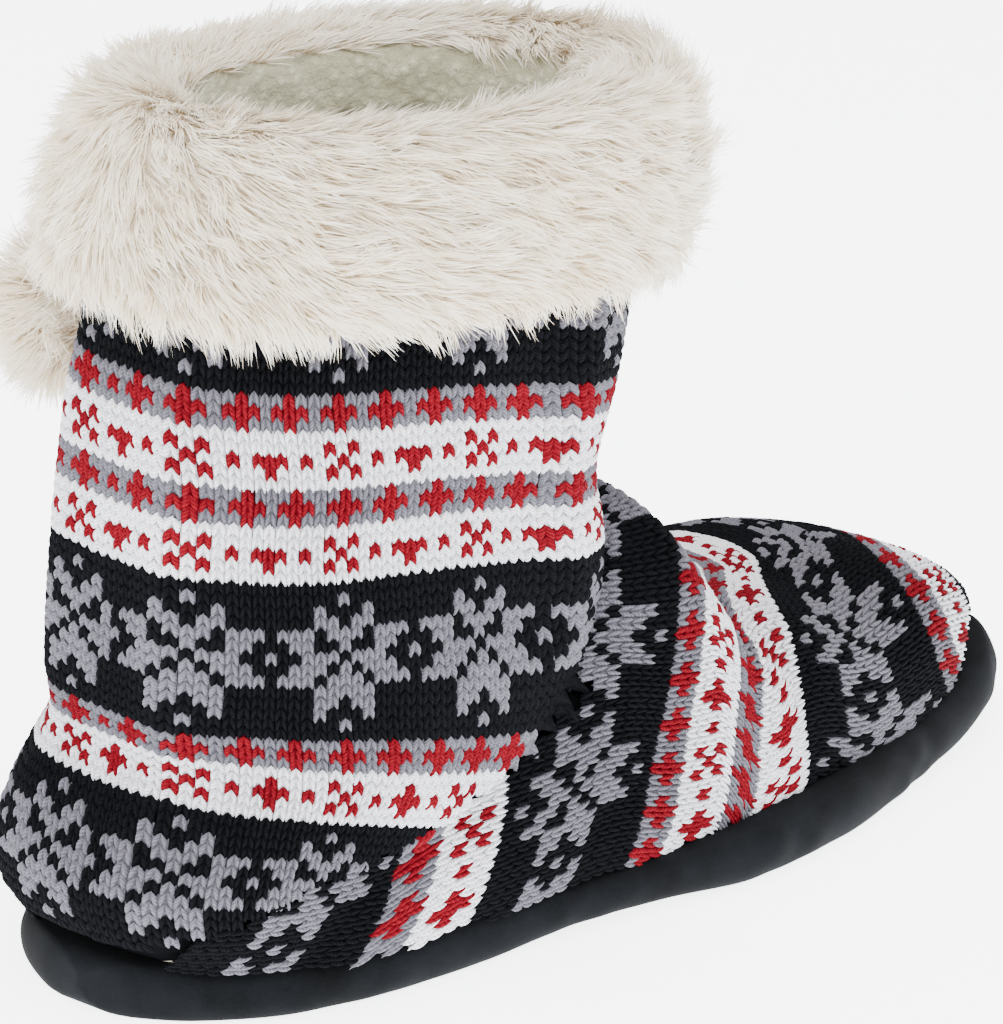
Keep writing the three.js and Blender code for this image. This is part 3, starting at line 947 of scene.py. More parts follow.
class LegKnit:
    """Where the courses and wales of the leg lie."""

    SOFT = 6 * MM
    PASSES = 3
    FRONT_FROM = 0.25

    def __init__(self, form: LegForm, other: "VampForm") -> None:
        """Builds the skin with its folds; where the other form lies further out, the knit follows that."""
        self.form = form
        self.skin = folded(raised(form.skin(), other.depth), self.folds)
        self.course = columns(COURSE_ROWS)
        self.wale = column(WALE_ROWS, "collar")
        self.twist = columns(TWIST_ROWS)

    def folds(self, share: Array, arc: Array) -> Array:
        """Depth in metres of the soft folds, outwards positive, at a height share and a share of the way round."""
        z = share * self.form.last.leg_height / MM
        hollow = ANKLE_HOLLOW
        swung = 100 * arc - ANKLE_SWING * valley(z, ANKLE_HEIGHT, ANKLE_REACH)
        fold = hollow.depth * valley(swung, hollow.at, hollow.width) * smoothstep(z, hollow.low, hollow.high)
        for x, uprights, folds in zip((100 * arc, 100 - 100 * arc), LEG_UPRIGHTS, LEG_FOLDS):
            for f in uprights:
                fold += f.depth * valley(x + f.slant * z, f.at, f.width) * smoothstep(z, f.low, f.high)
            fold += creased(folds, z, x)
        return fold * MM

    def place(self, course: Array, wale: Array, lift: Array) -> Array:
        """Points of the leg knit at courses and wales, lifted outwards."""
        tall = self.form.last.leg_height
        base = self.course["height"](course) * MM
        own = self.wale(np.mod(wale, WALE_ROWS[-1].at))
        before = np.clip(np.minimum(own, 1 - own) / self.FRONT_FROM, 0, 1)
        drop_from, slope = self.course["drop_from"](course) * MM, self.course["slope"](course)
        height = base
        for _ in range(self.PASSES):
            level = np.clip(height, 0, tall) / MM
            shift = self.twist["behind"](level) * (1 - before) + self.twist["before"](level) * before
            arc = np.mod(own + shift, 1.0)
            x = self.skin.at(np.clip(height / tall, 0, 1), arc)[..., 0]
            height = base - slope * self.SOFT * np.logaddexp(0, (x - drop_from) / self.SOFT)
        return self.skin.at(np.clip(height / tall, 0, 1), arc, lift)


class VampKnit:
    """Where the courses and wales of one half of the vamp lie."""

    STAR_WALE = 6
    GAUGE = 2.2 * MM
    TOP_GAUGE = 2.7 * MM
    # The courses turn down over the toe from here, over this reach
    TOE_FROM = 192 * MM
    TOE_REACH = 21 * MM
    PASSES = 8
    # First guess between the crown's and the side's course lines, and how far each pass moves on
    GUESS = 0.4
    PACE = 0.65
    BEYOND = 1.15

    def __init__(self, form: VampForm, other: LegForm, side: int) -> None:
        """Builds the skin with its folds.

        Args:
            form: vamp form.
            other: leg form, whose face the knit follows where that lies further out.
            side: -1 for the medial half, 1 for the lateral one.
        """
        self.form = form
        self.side = side
        self.skin = folded(raised(form.skin(), other.depth), self.folds)
        self.star_way = column(VAMP_WALE_ROWS, "way")
        self.shares = self.skin.first
        self.reach = {way: self._reach(way) for way in (-1, 1)}
        self.course = [self._spread(t, name) for t, name in zip(VAMP_COURSE_AT, VampCourseRow._fields[1:])]

    def _reach(self, side: int) -> Array:
        """Way from the crown to the sole line on a side, by share of the length."""
        middle = len(self.skin.second) // 2
        ground = self.form.last.sole_top(self.shares)
        heights = self.skin.points[:, middle::side, 2]
        ways = self.skin.second[middle:]
        return np.array([np.interp(-low, -line, ways) for low, line in zip(ground, heights)])

    def _spread(self, t: float, name: str) -> Column:
        """Place of the courses on a line from heel to toe, evenly over the knit between the rows of the table."""
        size = self.form.last
        arc = ways_along(self.skin.at(self.shares, t * self.reach[-1 if t < 0 else 1]))
        x = self.shares * size.length + size.heel
        x, arc = (np.r_[line[0] - 1, line, line[-1] + 1] for line in (x, arc))
        marks = [CourseMark(row.at, np.interp(getattr(row, name) * MM, x, arc)) for row in VAMP_COURSE_ROWS]
        even = column(marks, "arc")
        return lambda course: np.interp(even(course), arc, x)

    def folds(self, share: Array, way: Array) -> Array:
        """Depth in metres of the soft folds, outwards positive, at a length share and a way from the crown."""
        x = (share * self.form.last.length + self.form.last.heel) / MM
        return (creased(VAMP_FOLDS, x, way / MM) + creased([VAMP_CREASE], way / MM, x)) * MM

    def place(self, course: Array, wale: Array, lift: Array) -> Array:
        """Points of the vamp knit at courses and wales, lifted outwards."""
        size = self.form.last
        lines = np.stack([line(course) for line in self.course], -1)
        count = wale - self.STAR_WALE
        from_star = count * np.where(count < 0, self.TOP_GAUGE, self.GAUGE)
        middle = len(VAMP_COURSE_AT) // 2
        x = lines[..., middle] * self.GUESS + lines[..., middle + 2 * self.side] * (1 - self.GUESS)
        for _ in range(self.PASSES):
            way = self.side * (self.star_way(x / MM) * MM + from_star)
            medial, lateral = (np.interp(size.share(x), self.shares, self.reach[side]) for side in (-1, 1))
            t = np.clip(way / np.where(way < 0, medial, lateral), -self.BEYOND, self.BEYOND)
            x = (1 - self.PACE) * x + self.PACE * across(lines, VAMP_COURSE_AT, t)
        bend = np.clip((x - self.TOE_FROM) / self.TOE_REACH, 0, math.pi / 2)
        x = np.where(x > self.TOE_FROM, self.TOE_FROM + self.TOE_REACH * np.sin(bend), x)
        return self.skin.at(size.share(x), way, lift)


@dataclass
class HeelWedge:
    """Vamp knit that runs back round the heel under the leg: it lies on the leg's own face."""

    knit: LegKnit
    side: int
    low_wale: int
    start: float = -7 * MM
    lean: float = 0.47
    floor: float = 12 * MM
    course_pitch: float = 2.75 * MM
    wale_pitch: float = 2.2 * MM
    height: int = 10

    def wales(self) -> tuple[int, int]:
        """First wale and the one after the last."""
        low = self.low_wale
        return (low - self.height, low + 2) if self.side > 0 else (low - 2, low + self.height)

    def place(self, course: Array, wale: Array, lift: Array) -> Array:
        """Points of the wedge at courses and wales, lifted outwards."""
        skin, tall = self.knit.skin, self.knit.form.last.leg_height
        share = np.clip((self.floor + self.side * (self.low_wale - wale) * self.wale_pitch) / tall, 0, 1)
        arcs = skin.second[: len(skin.second) // 2]
        lines = np.maximum.accumulate(skin.points[:, :: self.side, 0][:, : len(arcs)], axis=1)
        goals = self.start + (skin.first * tall - self.floor) * self.lean
        start = np.array([np.interp(goal, line, arcs) for goal, line in zip(goals, lines)])
        round_leg = np.linalg.norm(np.diff(skin.points, axis=1), axis=-1).sum(1)
        from_back = np.interp(share, skin.first, start)
        from_back += course * self.course_pitch / np.interp(share, skin.first, round_leg)
        return skin.at(share, np.mod(self.side * from_back, 1.0), lift)


def across(lines: Array, stations: Sequence[float], t: Array) -> Array:
    """Smooth interpolation of values that are given at stations, each point with its own values."""
    at = np.array(stations)
    slopes = np.diff(lines, axis=-1) / np.diff(at)
    tangents = np.concatenate([slopes[..., :1], (slopes[..., 1:] + slopes[..., :-1]) / 2, slopes[..., -1:]], -1)
    i = np.clip(np.searchsorted(at, t), 1, len(at) - 1)
    span = at[i] - at[i - 1]
    s = (t - at[i - 1]) / span
    pick = lambda values, index: np.take_along_axis(values, index[..., None], -1)[..., 0]
    inner = hermite(s, span, pick(lines, i - 1), pick(lines, i), pick(tangents, i - 1), pick(tangents, i))
    below = lines[..., 0] + (t - at[0]) * slopes[..., 0]
    above = lines[..., -1] + (t - at[-1]) * slopes[..., -1]
    return np.where(t < at[0], below, np.where(t > at[-1], above, inner))


def folded(skin: Skin, folds: Callable[[Array, Array], Array]) -> Skin:
    """A skin moved outwards by its folds."""
    a, b = np.meshgrid(skin.first, skin.second, indexing="ij")
    return Skin(skin.first, skin.second, skin.points + skin.outward * folds(a, b)[..., None], skin.facing)


def raised(
    skin: Skin, depth: Callable[[Array], Array], limit: float = 7 * MM, top: float = 50 * MM, halvings: int = 18
) -> Skin:
    """A skin moved out to the face of another form where it lies a little inside that form.

    Args:
        skin: surface to move.
        depth: depth function of the other form, 1 on its face.
        limit: greatest move in metres.
        top: height up to which the surface is moved.
        halvings: steps of the search.

    Returns:
        The moved surface.
    """
    low, high = np.zeros(skin.points.shape[:2]), np.full(skin.points.shape[:2], limit)
    for _ in range(halvings):
        middle = (low + high) / 2
        inside = depth(skin.points + skin.outward * middle[..., None]) < 1
        low, high = np.where(inside, middle, low), np.where(inside, high, middle)
    reachable = (depth(skin.points) < 1) & (high < limit * 0.999)
    move = np.where(reachable, high, 0.0) * smoothstep(skin.points[..., 2], top + 4 * MM, top - 3 * MM)
    return Skin(skin.first, skin.second, skin.points + skin.outward * move[..., None], skin.facing)


@dataclass
class StitchPanel:
    """A panel of knit made of separate stitches: two tapered legs over a flat bed of the same yarn."""

    name: str
    courses: tuple[int, int]
    wales: tuple[int, int]
    place: Callable[[Array, Array, Array], Array]
    keep: Callable[[Array], Array]
    chart: Chart
    inward: bool = False
    loft: float = 0.95 * MM
    bed: float = 0.12 * MM
    thread: float = 1.1 * MM
    reach: float = 1.42
    rise: float = 0.74
    full_yarn: float = 1.16
    tip_round: float = 0.16
    gap_limit: float = 5.2 * MM

    # Half-width, spread from the wale's middle and height of a leg from its tip to its foot
    LEG_HALF = (0.17, 0.225, 0.22, 0.165, 0.06)
    LEG_SPREAD = (0.13, 0.215, 0.275, 0.32, 0.34)
    LEG_ARCH = (0.5, 0.92, 1.0, 0.82, 0.35)
    # Grid points across and along a leg, and across a stitch: two legs, then the bed
    ACROSS = 4
    ALONG = 5
    BLOCK = 10
    BED = 8
    # Columns of cells that lie between the legs or beside the bed
    GAPS = (3, 7, 8, 9)

    def build(self, materials: Sequence[bpy.types.Material]) -> bpy.types.Object:
        """Makes the panel.

        Args:
            materials: yarn materials in the order of Yarn.

        Returns:
            The linked object.
        """
        wide, tall = self.wales[1] - self.wales[0], self.courses[1] - self.courses[0]
        course, wale = np.meshgrid(np.arange(*self.courses), np.arange(*self.wales), indexing="ij")
        centre = self.place(course.astype(float), wale.astype(float), np.zeros(course.shape))
        ahead = np.linalg.norm(np.gradient(centre, axis=0), axis=-1)
        beside = np.linalg.norm(np.gradient(centre, axis=1), axis=-1)
        self.kept = self.keep(centre) & (ahead < self.gap_limit) & (beside < self.gap_limit)
        rng = np.random.default_rng(len(self.name) + self.wales[0] % 97)
        self.jitter = rng.normal(0, 1, course.shape + (4,))
        piece = GridPiece(
            self.name, wide * self.BLOCK, tall * self.ALONG, self._points, self._cells, self._colour, self._texture
        )
        return piece.build(materials)

    def _split(self, col: Array, row: Array) -> tuple[Array, Array, Array, Array]:
        """Stitch and place in the stitch of a grid point."""
        j = np.minimum(col // self.BLOCK, self.wales[1] - self.wales[0] - 1)
        k = np.minimum(row // self.ALONG, self.courses[1] - self.courses[0] - 1)
        return k, j, col - j * self.BLOCK, row - k * self.ALONG

    def _cells(self, col: Array, row: Array) -> Array:
        """Cells that belong to a leg or a bed."""
        k, j, a, b = self._split(col, row)
        leg = ~np.isin(a, self.GAPS) & (b < self.ALONG - 1)
        bed = (a == self.BED) & (b == 0)
        return (leg | bed) & self.kept[k, j]

    def _points(self, col: Array, row: Array) -> Array:
        """Places of the grid points."""
        k, j, a, b = self._split(col, row)
        is_leg = a < self.BED
        side = np.where(a < self.ACROSS, -1.0, 1.0)
        q = b / (self.ALONG - 1)
        turn = math.pi * (a % self.ACROSS) / (self.ACROSS - 1)
        noise = self.jitter[k, j]
        step = np.minimum(b, self.ALONG - 1)
        full = self.chart.yarn(self.courses[0] + k, self.wales[0] + j) == Yarn.RED
        half = np.array(self.LEG_HALF)[step] * (1 + 0.06 * noise[:, 0]) * np.where(full, self.full_yarn, 1.0)
        u = side * np.array(self.LEG_SPREAD)[step] - np.cos(turn) * half
        v = self.rise - self.reach * q * np.where(full, self.full_yarn, 1.0) + 0.05 * noise[:, 1]
        v = v + self.tip_round * (side * np.cos(turn) - 1) * (1 - q) ** 2
        arch = np.array(self.LEG_ARCH)[step]
        lift = self.bed + self.loft * arch * (0.12 + 0.88 * np.sin(turn)) * (1 + 0.08 * noise[:, 2])
        u = np.where(is_leg, u, (a - self.BED) - 0.5) + 0.02 * noise[:, 3]
        v = np.where(is_leg, v, 0.5 - b)
        lift = np.where(is_leg, lift, self.bed)
        course = self.courses[0] + k - v
        wale = self.wales[0] + j + (-u if self.inward else u)
        return self.place(course, wale, lift)

    def _colour(self, col: Array, row: Array) -> Array:
        """Yarn number of each face."""
        k, j, _, _ = self._split(col, row)
        return self.chart.yarn(self.courses[0] + k, self.wales[0] + j)

    def _texture(self, col: Array, row: Array) -> tuple[Array, Array]:
        """Texture map in millimetres of yarn: round the yarn and along it, set off by stitch."""
        k, j, a, b = self._split(col, row)
        mirror = np.where(a < self.ACROSS, 1.0, -1.0)
        u = mirror * (a % self.ACROSS) * self.thread / MM / 2 + 7.3 * k + 3.1 * j
        return u, b * 0.75 + 1.7 * j


# Fur


@dataclass
class Fur:
    """Locks of flat hairs: each hair is a narrow ribbon of three quads that bends along its nap."""

    name: str
    roots: Array
    normals: Array
    naps: Array
    length: Array
    width: float
    seed: int
    lean: float = 1.0
    stand: float = 0.28
    clump: float = 4.5 * MM
    curl: float = 0.3
    gather: float = 0.45

    STEPS = 3

    # Waves per metre that swirl the fur, and how cells of roots share a lock
    WAVES = (180, 260, 420, 600, 330, 510)
    HASH = (73856093, 19349663, 83492791)
    LOCKS = 9973

    def build(self, materials: Sequence[bpy.types.Material]) -> bpy.types.Object:
        """Makes the hairs.

        Args:
            materials: the one fur material.

        Returns:
            The linked object.
        """
        rng = np.random.default_rng(self.seed)
        count = len(self.roots)
        warp = np.sin(self.roots[:, [1, 2, 0]] * 410) * self.clump * 0.4
        cell = np.floor((self.roots + warp) / self.clump).astype(int)
        pull = ((cell + 0.5) * self.clump - warp - self.roots) * self.gather
        wild = [np.sin(self.roots @ rng.normal(0, 1, 3) * f + rng.uniform(0, 6)) for f in self.WAVES]
        swirl = np.stack([wild[0] + 0.6 * wild[2], wild[1] + 0.6 * wild[3], wild[4] + 0.6 * wild[5]], -1)
        key = (cell @ np.array(self.HASH)) % self.LOCKS
        lock = np.random.default_rng(self.seed + 1).normal(0, 1, (self.LOCKS, 3))[key]
        stray = rng.normal(0, 1, (count, 3))
        flow = unit(self.naps) * self.lean + self.normals * self.stand
        flow = unit(flow + self.curl * (0.5 * swirl + 0.5 * lock) + 0.1 * stray)
        first = unit(self.normals * 0.65 + flow * 0.75)
        length = self.length * (1 + 0.18 * rng.normal(0, 1, count)).clip(0.4, 1.5)
        step = length / self.STEPS
        bend = unit(flow + 0.25 * self.curl * lock - 0.1 * self.normals)
        points = [self.roots]
        for part, heading in enumerate((first, flow, bend)):
            points.append(points[-1] + heading * (step * (0.8, 1.1, 1.1)[part])[:, None])
        self.line = np.stack(points, 1)
        pull -= self.normals * np.sum(pull * self.normals, axis=1, keepdims=True)
        self.line[:, 2] += 0.5 * pull
        self.line[:, 3] += pull
        self.across = unit(np.cross(flow, self.normals + 0.5 * rng.normal(0, 1, (count, 3))))
        self.tone = rng.uniform(0, 1, count)
        piece = GridPiece(self.name, count * 2, self.STEPS, self._points, self._cells, None, self._texture)
        return piece.build(materials)

    def _hair(self, col: Array) -> Array:
        """Number of the hair of a grid column."""
        return np.minimum(col // 2, len(self.roots) - 1)

    def _cells(self, col: Array, row: Array) -> Array:
        """Cells of hairs, not of the gaps between them."""
        return col % 2 == 0

    def _points(self, col: Array, row: Array) -> Array:
        """Places of the grid points."""
        hair = self._hair(col)
        taper = np.array([0.8, 1.0, 0.75, 0.12])[row]
        side = (col % 2 - 0.5) * self.width * taper
        return self.line[hair, row] + self.across[hair] * side[:, None]

    def _texture(self, col: Array, row: Array) -> tuple[Array, Array]:
        """Texture map: the hair's tone across, root to tip upwards."""
        return self.tone[self._hair(col)], row / self.STEPS


class CuffForm:
    """Closed section of the fur cuff, swept round the leg."""

    DROP = 32.5 * MM
    INSIDE = 17 * MM
    LOFT = 7 * MM
    PILE_OUTSIDE = 13 * MM
    PILE_INSIDE = 10 * MM
    TUFT = 0.6 * MM

    def __init__(self, leg: LegForm) -> None:
        """Keeps the leg form that the cuff sits on."""
        self.leg = leg

    def point(self, place: Array, angle: Array, sunk: float) -> Array:
        """Points of the cuff's face at a place along its section and an angle, sunk into the pile."""
        rows = len(CUFF_ROWS)
        low = np.floor(place).astype(int) % rows
        high = (low + 1) % rows
        t = place - np.floor(place)
        rows = np.array(CUFF_ROWS)
        out, up = (rows[low, i] * (1 - t) + rows[high, i] * t for i in range(2))
        depth = np.where(out < 0, self.INSIDE, self.DROP) - sunk
        height = np.where(up < 0, up * depth, up * (self.LOFT - sunk))
        pile = np.where(out < 0, out * (self.PILE_INSIDE - sunk), out * (self.PILE_OUTSIDE - sunk))
        coarse = np.sin(11 * angle + 2 * np.sin(5 * angle) + 0.9 * place)
        coarse = coarse * np.sin(1.9 * place + 2.5 * np.sin(4 * angle))
        fine = np.sin(23 * angle + 3 * np.sin(3 * place)) * np.sin(3.1 * place + 1.4 * np.sin(9 * angle))
        tufts = coarse + 0.7 * fine
        pile = pile + self.TUFT * tufts * np.sign(out)
        share = np.clip(1 + height / self.leg.last.leg_height, 0, 1)
        point = self.leg.point(share, angle, pile)
        point[..., 2] += np.maximum(height, 0)
        return point

    def frame(self, place: Array, angle: Array, sunk: float) -> tuple[Array, Array, Array, Array]:
        """Points with their outward and sideways directions and that along the section, up and over the rim."""
        point = self.point(place, angle, sunk)
        ahead = self.point(place + 0.05, angle, sunk) - self.point(place - 0.05, angle, sunk)
        sideways = self.point(place, angle + 0.01, sunk) - self.point(place, angle - 0.01, sunk)
        return point, unit(np.cross(sideways, ahead)), unit(sideways), unit(ahead)


# Sub-assemblies


@dataclass
class Camera:
    """Camera of the product photo: from behind the shoe, on its inner side and slightly above."""

    location: tuple[float, float, float] = (-0.71729, -0.68634, 0.41086)
    right: tuple[float, float, float] = (0.66091, -0.75019, 0.02040)
    up: tuple[float, float, float] = (0.21909, 0.21887, 0.95084)
    lens: float = 200.9
    sensor: float = 36.0

    def build(self) -> None:
        """Makes the scene's camera."""
        data = bpy.data.cameras.new("camera")
        data.lens, data.sensor_width, data.sensor_fit = self.lens, self.sensor, "HORIZONTAL"
        obj = linked("camera", data)
        right, up = Vector(self.right), Vector(self.up)
        back = right.cross(up)
        turn = Matrix((right, up, back)).transposed().to_4x4()
        obj.matrix_world = Matrix.Translation(self.location) @ turn
        bpy.context.scene.camera = obj


@dataclass
class Lamp:
    """A soft studio light that faces the shoe."""

    name: str
    place: tuple[float, float, float]
    size: float
    power: float
    target: tuple[float, float, float] = (0.07, 0.0, 0.08)

    def build(self) -> None:
        """Makes the light."""
        data = bpy.data.lights.new(self.name, "AREA")
        data.shape, data.size, data.energy = "DISK", self.size, self.power
        away = Vector(self.place) - Vector(self.target)
        turn = away.to_track_quat("Z", "Y").to_matrix().to_4x4()
        linked(self.name, data).matrix_world = Matrix.Translation(self.place) @ turn


@dataclass
class Studio:
    """White paper floor, soft lights and pale surroundings."""

    lamps: tuple[Lamp, ...] = (
        Lamp("key_light", (-0.9, -1.1, 1.5), 1.1, 38),
        Lamp("fill_light", (0.9, -1.5, 0.9), 1.6, 16),
        Lamp("top_light", (0.1, 0.1, 1.9), 1.4, 34),
        Lamp("side_light", (-1.5, 0.7, 0.9), 1.2, 24),
    )
    surroundings: float = 1.0
    floor_size: float = 12.0

    def build(self) -> None:
        """Makes the floor, the lights and the surroundings."""
        for lamp in self.lamps:
            lamp.build()
        world = bpy.data.worlds.new("studio")
        bpy.context.scene.world = world
        world.use_nodes = True
        background = world.node_tree.nodes["Background"]
        background.inputs["Color"].default_value = linear("#FFFFFF")
        background.inputs["Strength"].default_value = self.surroundings
        bm = bmesh.new()
        bmesh.ops.create_grid(bm, x_segments=1, y_segments=1, size=self.floor_size)
        mesh = meshed(bm, "studio_floor")
        mesh.materials.append(FloorFinish("studio_paper").build())
        linked("studio_floor", mesh)


@dataclass
class Finishes:
    """All finishes of the slipper."""

    # Each yarn: its colour, its painted shade between plies and fibres, and its sheen weight
    yarns: tuple[YarnFinish, ...] = (
        YarnFinish("acrylic_yarn_black", "#101114", "#050506", 0.0, specular=0.02),
        YarnFinish("acrylic_yarn_grey", "#68666F", "#3A3942", 0.05),
        YarnFinish("acrylic_yarn_red", "#740012", "#340007", 0.0, specular=0.03),
        YarnFinish("acrylic_yarn_white", "#E6E6EA", "#8E8E98", 0.1),
    )
    # Fur colours: the root's tan is painted shade deep in the pile; then the middle, the pale tip and the warm patches
    fur: FurFinish = FurFinish("faux_fur_cream", "#CDB893", "#F0E7D5", "#FFFCF4", "#DFC8A0")
    # Fleece colours: its own colour, then its painted shadow between the knots
    fleece: FleeceFinish = FleeceFinish("sherpa_fleece_beige", "#E4E0C4", "#BEBA9C")
    suede: SuedeFinish = SuedeFinish("microsuede_black", "#15171A", "#08090A")

    def build(self) -> "Finishes":
        """Makes the materials.

        Returns:
            Itself.
        """
        self.yarn_materials = [finish.build() for finish in self.yarns]
        self.fur_material = self.fur.build()
        self.fleece_material = self.fleece.build()
        self.suede_material = self.suede.build()
        return self


def copied(node: str, name: str) -> bpy.types.Object:
    """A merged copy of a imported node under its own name."""
    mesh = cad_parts[node].data.copy()
    mesh.name = name
    mesh.materials.clear()
    weld(mesh)
    return linked(name, mesh)


@dataclass
class Upper:
    """Knitted leg and vamp over the wall of the upper, which is lined with fleece."""

    last: Last
    finishes: Finishes
    under_cuff: float = 137 * MM
    clearance: float = 0.955
    outer_share: float = 0.975
    wall_inset: float = 2.2 * MM
    wedge_top: float = 31.5 * MM
    seam_top: float = 51 * MM
    vamp_gap: float = 8.5 * MM
    crown_lap: float = 0.9 * MM

    def build(self) -> None:
        """Makes the wall and the knit panels of leg, vamp and heel."""
        self.leg, self.vamp = LegForm(self.last), VampForm(self.last)
        leg_knit = LegKnit(self.leg, self.vamp)
        self.seam = column(SEAM_ROWS, "along")
        self._wall()
        for name, wales in (("medial", (0, 54)), ("lateral", (54, 106))):
            self._panel(f"knit_leg_{name}", (-12, 55), wales, leg_knit.place, self._on_leg, LEG_CHART)
        for name, side, first in (("medial", -1, 0), ("lateral", 1, -14)):
            keep, place = partial(self._on_vamp, side=side), VampKnit(self.vamp, self.leg, side).place
            self._panel(
                f"knit_vamp_{name}", (first, 68), (-20, 34), place, keep, VAMP_CHART, side < 0, gap_limit=self.vamp_gap
            )
        for name, side, low_wale in (("medial", 1, 26), ("lateral", -1, -46)):
            wedge = HeelWedge(leg_knit, side, low_wale)
            self._panel(f"knit_heel_{name}", (-14, 0), wedge.wales(), wedge.place, self._on_wedge, VAMP_CHART, True)

    def _panel(self, *parts: object, **sizes: float) -> None:
        """Makes a panel of stitches from the fields of a StitchPanel."""
        ride_as(StitchPanel(*parts, **sizes).build(self.finishes.yarn_materials), Slot.KNIT)

    def _wall(self) -> None:
        """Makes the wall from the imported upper, its outer face drawn in under the stitches."""
        wall = copied("upper", "upper_wall")
        mesh = wall.data
        points, normal = read_vectors(mesh.vertices, "co"), read_vectors(mesh.vertex_normals, "vector")
        outer = np.minimum(self.leg.depth(points), self.vamp.depth(points)) > self.outer_share
        points -= normal * np.where(outer, self.wall_inset, 0.0)[:, None]
        mesh.vertices.foreach_set("co", points.ravel())
        mesh.materials.append(self.finishes.yarn_materials[Yarn.BLACK])
        mesh.materials.append(self.finishes.fleece_material)
        inside = [not outer[list(face.vertices)].any() for face in mesh.polygons]
        mesh.polygons.foreach_set("material_index", np.array(inside, np.int32))
        ride_as(wall, Slot.KNIT, "upper")

    def _sides(self, points: Array) -> tuple[Array, Array, Array]:
        """Which stitches lie above the sole and in front of the seam, and their heights."""
        height = points[..., 2]
        above = height > self.last.sole_top(self.last.share(points[..., 0]))
        return above, points[..., 0] >= self.seam(height / MM) * MM, height

    def _on_leg(self, points: Array) -> Array:
        """Stitches of the leg that show: behind the seam, above the sole and not under the fur."""
        above, ahead, height = self._sides(points)
        outside = self.vamp.depth(points) > self.clearance
        return outside & (~ahead | (height > self.seam_top)) & above & (height < self.under_cuff)

    def _on_vamp(self, points: Array, side: int) -> Array:
        """Stitches of a half of the vamp that show: in front of the seam, above the sole and up to the crown."""
        above, ahead, height = self._sides(points)
        share = self.last.share(points[..., 0])
        within = (share > VAMP_ROWS[0].at) & (share < VAMP_ROWS[-1].at)
        own = side * points[..., 1] > -self.crown_lap
        outside = self.leg.depth(points) > self.clearance
        return outside & (ahead | (height > self.seam_top)) & above & within & own

    def _on_wedge(self, points: Array) -> Array:
        """Stitches of the vamp that show round the heel: under the seam and above the sole."""
        above, ahead, height = self._sides(points)
        return ahead & above & (height < self.wedge_top)


@dataclass
class Cuff:
    """Fur collar turned down over the rim: a shorn ground and the hairs on it."""

    last: Last
    finishes: Finishes
    hairs_outside: int = 23000
    hairs_inside: int = 17000
    sunk: float = 2.6 * MM
    hair_width: float = 0.25 * MM
    places: int = 56
    turned_in: float = 9.2
    angles: int = 180

    def build(self) -> None:
        """Makes the ground and the hairs."""
        self.form = CuffForm(LegForm(self.last))
        how = (self._ground, None, self._ground_finish, self._ground_texture)
        ground = GridPiece("cuff_ground", self.angles, self.places, *how, True)
        obj = ground.build([self.finishes.fur_material, self.finishes.fleece_material])
        ride_as(obj, Slot.FUR, "fur_cuff")
        # Places along the section: 0 to 6 is the outside from the lower edge to the rim, 6 to 13 the inside
        self._hairs("fur_outside_low", self.hairs_outside, (1.35, 3.6), 11, 7.5 * MM)
        self._hairs("fur_outside_high", self.hairs_outside, (3.6, 6.6), 13, 8 * MM)
        self._hairs("fur_inside", self.hairs_inside, (6.6, self.turned_in), 12, 6 * MM)

    def _ground(self, col: Array, row: Array) -> Array:
        """Places of the ground's points."""
        rows = len(CUFF_ROWS)
        place = (row % self.places) / self.places * rows
        angle = 2 * math.pi * (col % self.angles) / self.angles
        return self.form.point(place, angle, self.sunk)

    def _ground_finish(self, col: Array, row: Array) -> Array:
        """Material of each face: fur, or the fleece of the lining where the collar is turned in."""
        place = row / self.places * len(CUFF_ROWS)
        return ((place > self.turned_in) & (place < len(CUFF_ROWS) - 1)).astype(int)

    def _ground_texture(self, col: Array, row: Array) -> tuple[Array, Array]:
        """Map that gives the ground the hair's colour near its root, with a little of the hair's painted shade."""
        return 0.3 + 0 * col, 0.3 + 0 * row

    def _hairs(self, name: str, count: int, span: tuple[float, float], seed: int, length: float) -> None:
        """Makes one piece of hairs.

        Args:
            name: piece name.
            count: number of hairs.
            span: first and last place along the section.
            seed: seed of the hairs' scatter.
            length: hair length in metres.
        """
        rng = np.random.default_rng(seed)
        angle = rng.uniform(0, 2 * math.pi, count)
        place = rng.uniform(*span, count)
        point, normal, sideways, over = self.form.frame(place, angle, self.sunk)
        # The nap is brushed from the back to the front on both sides, hangs at the lower edge and stands up in front
        around = -np.sin(angle + 0.35) + 0.25 * np.sin(3 * angle + 0.6 * place)
        low = 1 - smoothstep(place, 1.3, 2.5)
        front = smoothstep(np.cos(angle), 0.25, 0.9) * (1 - low)
        nap = sideways * (around * (1 - 0.45 * low))[:, None] - over * (0.35 + 0.45 * low - 0.8 * front)[:, None]
        nap = nap - normal * np.sum(nap * normal, axis=1, keepdims=True)
        lengths = length * (1 - 0.15 * low)
        hairs = Fur(name, point, normal, nap, lengths, self.hair_width, seed)
        ride_as(hairs.build([self.finishes.fur_material]), Slot.FUR)


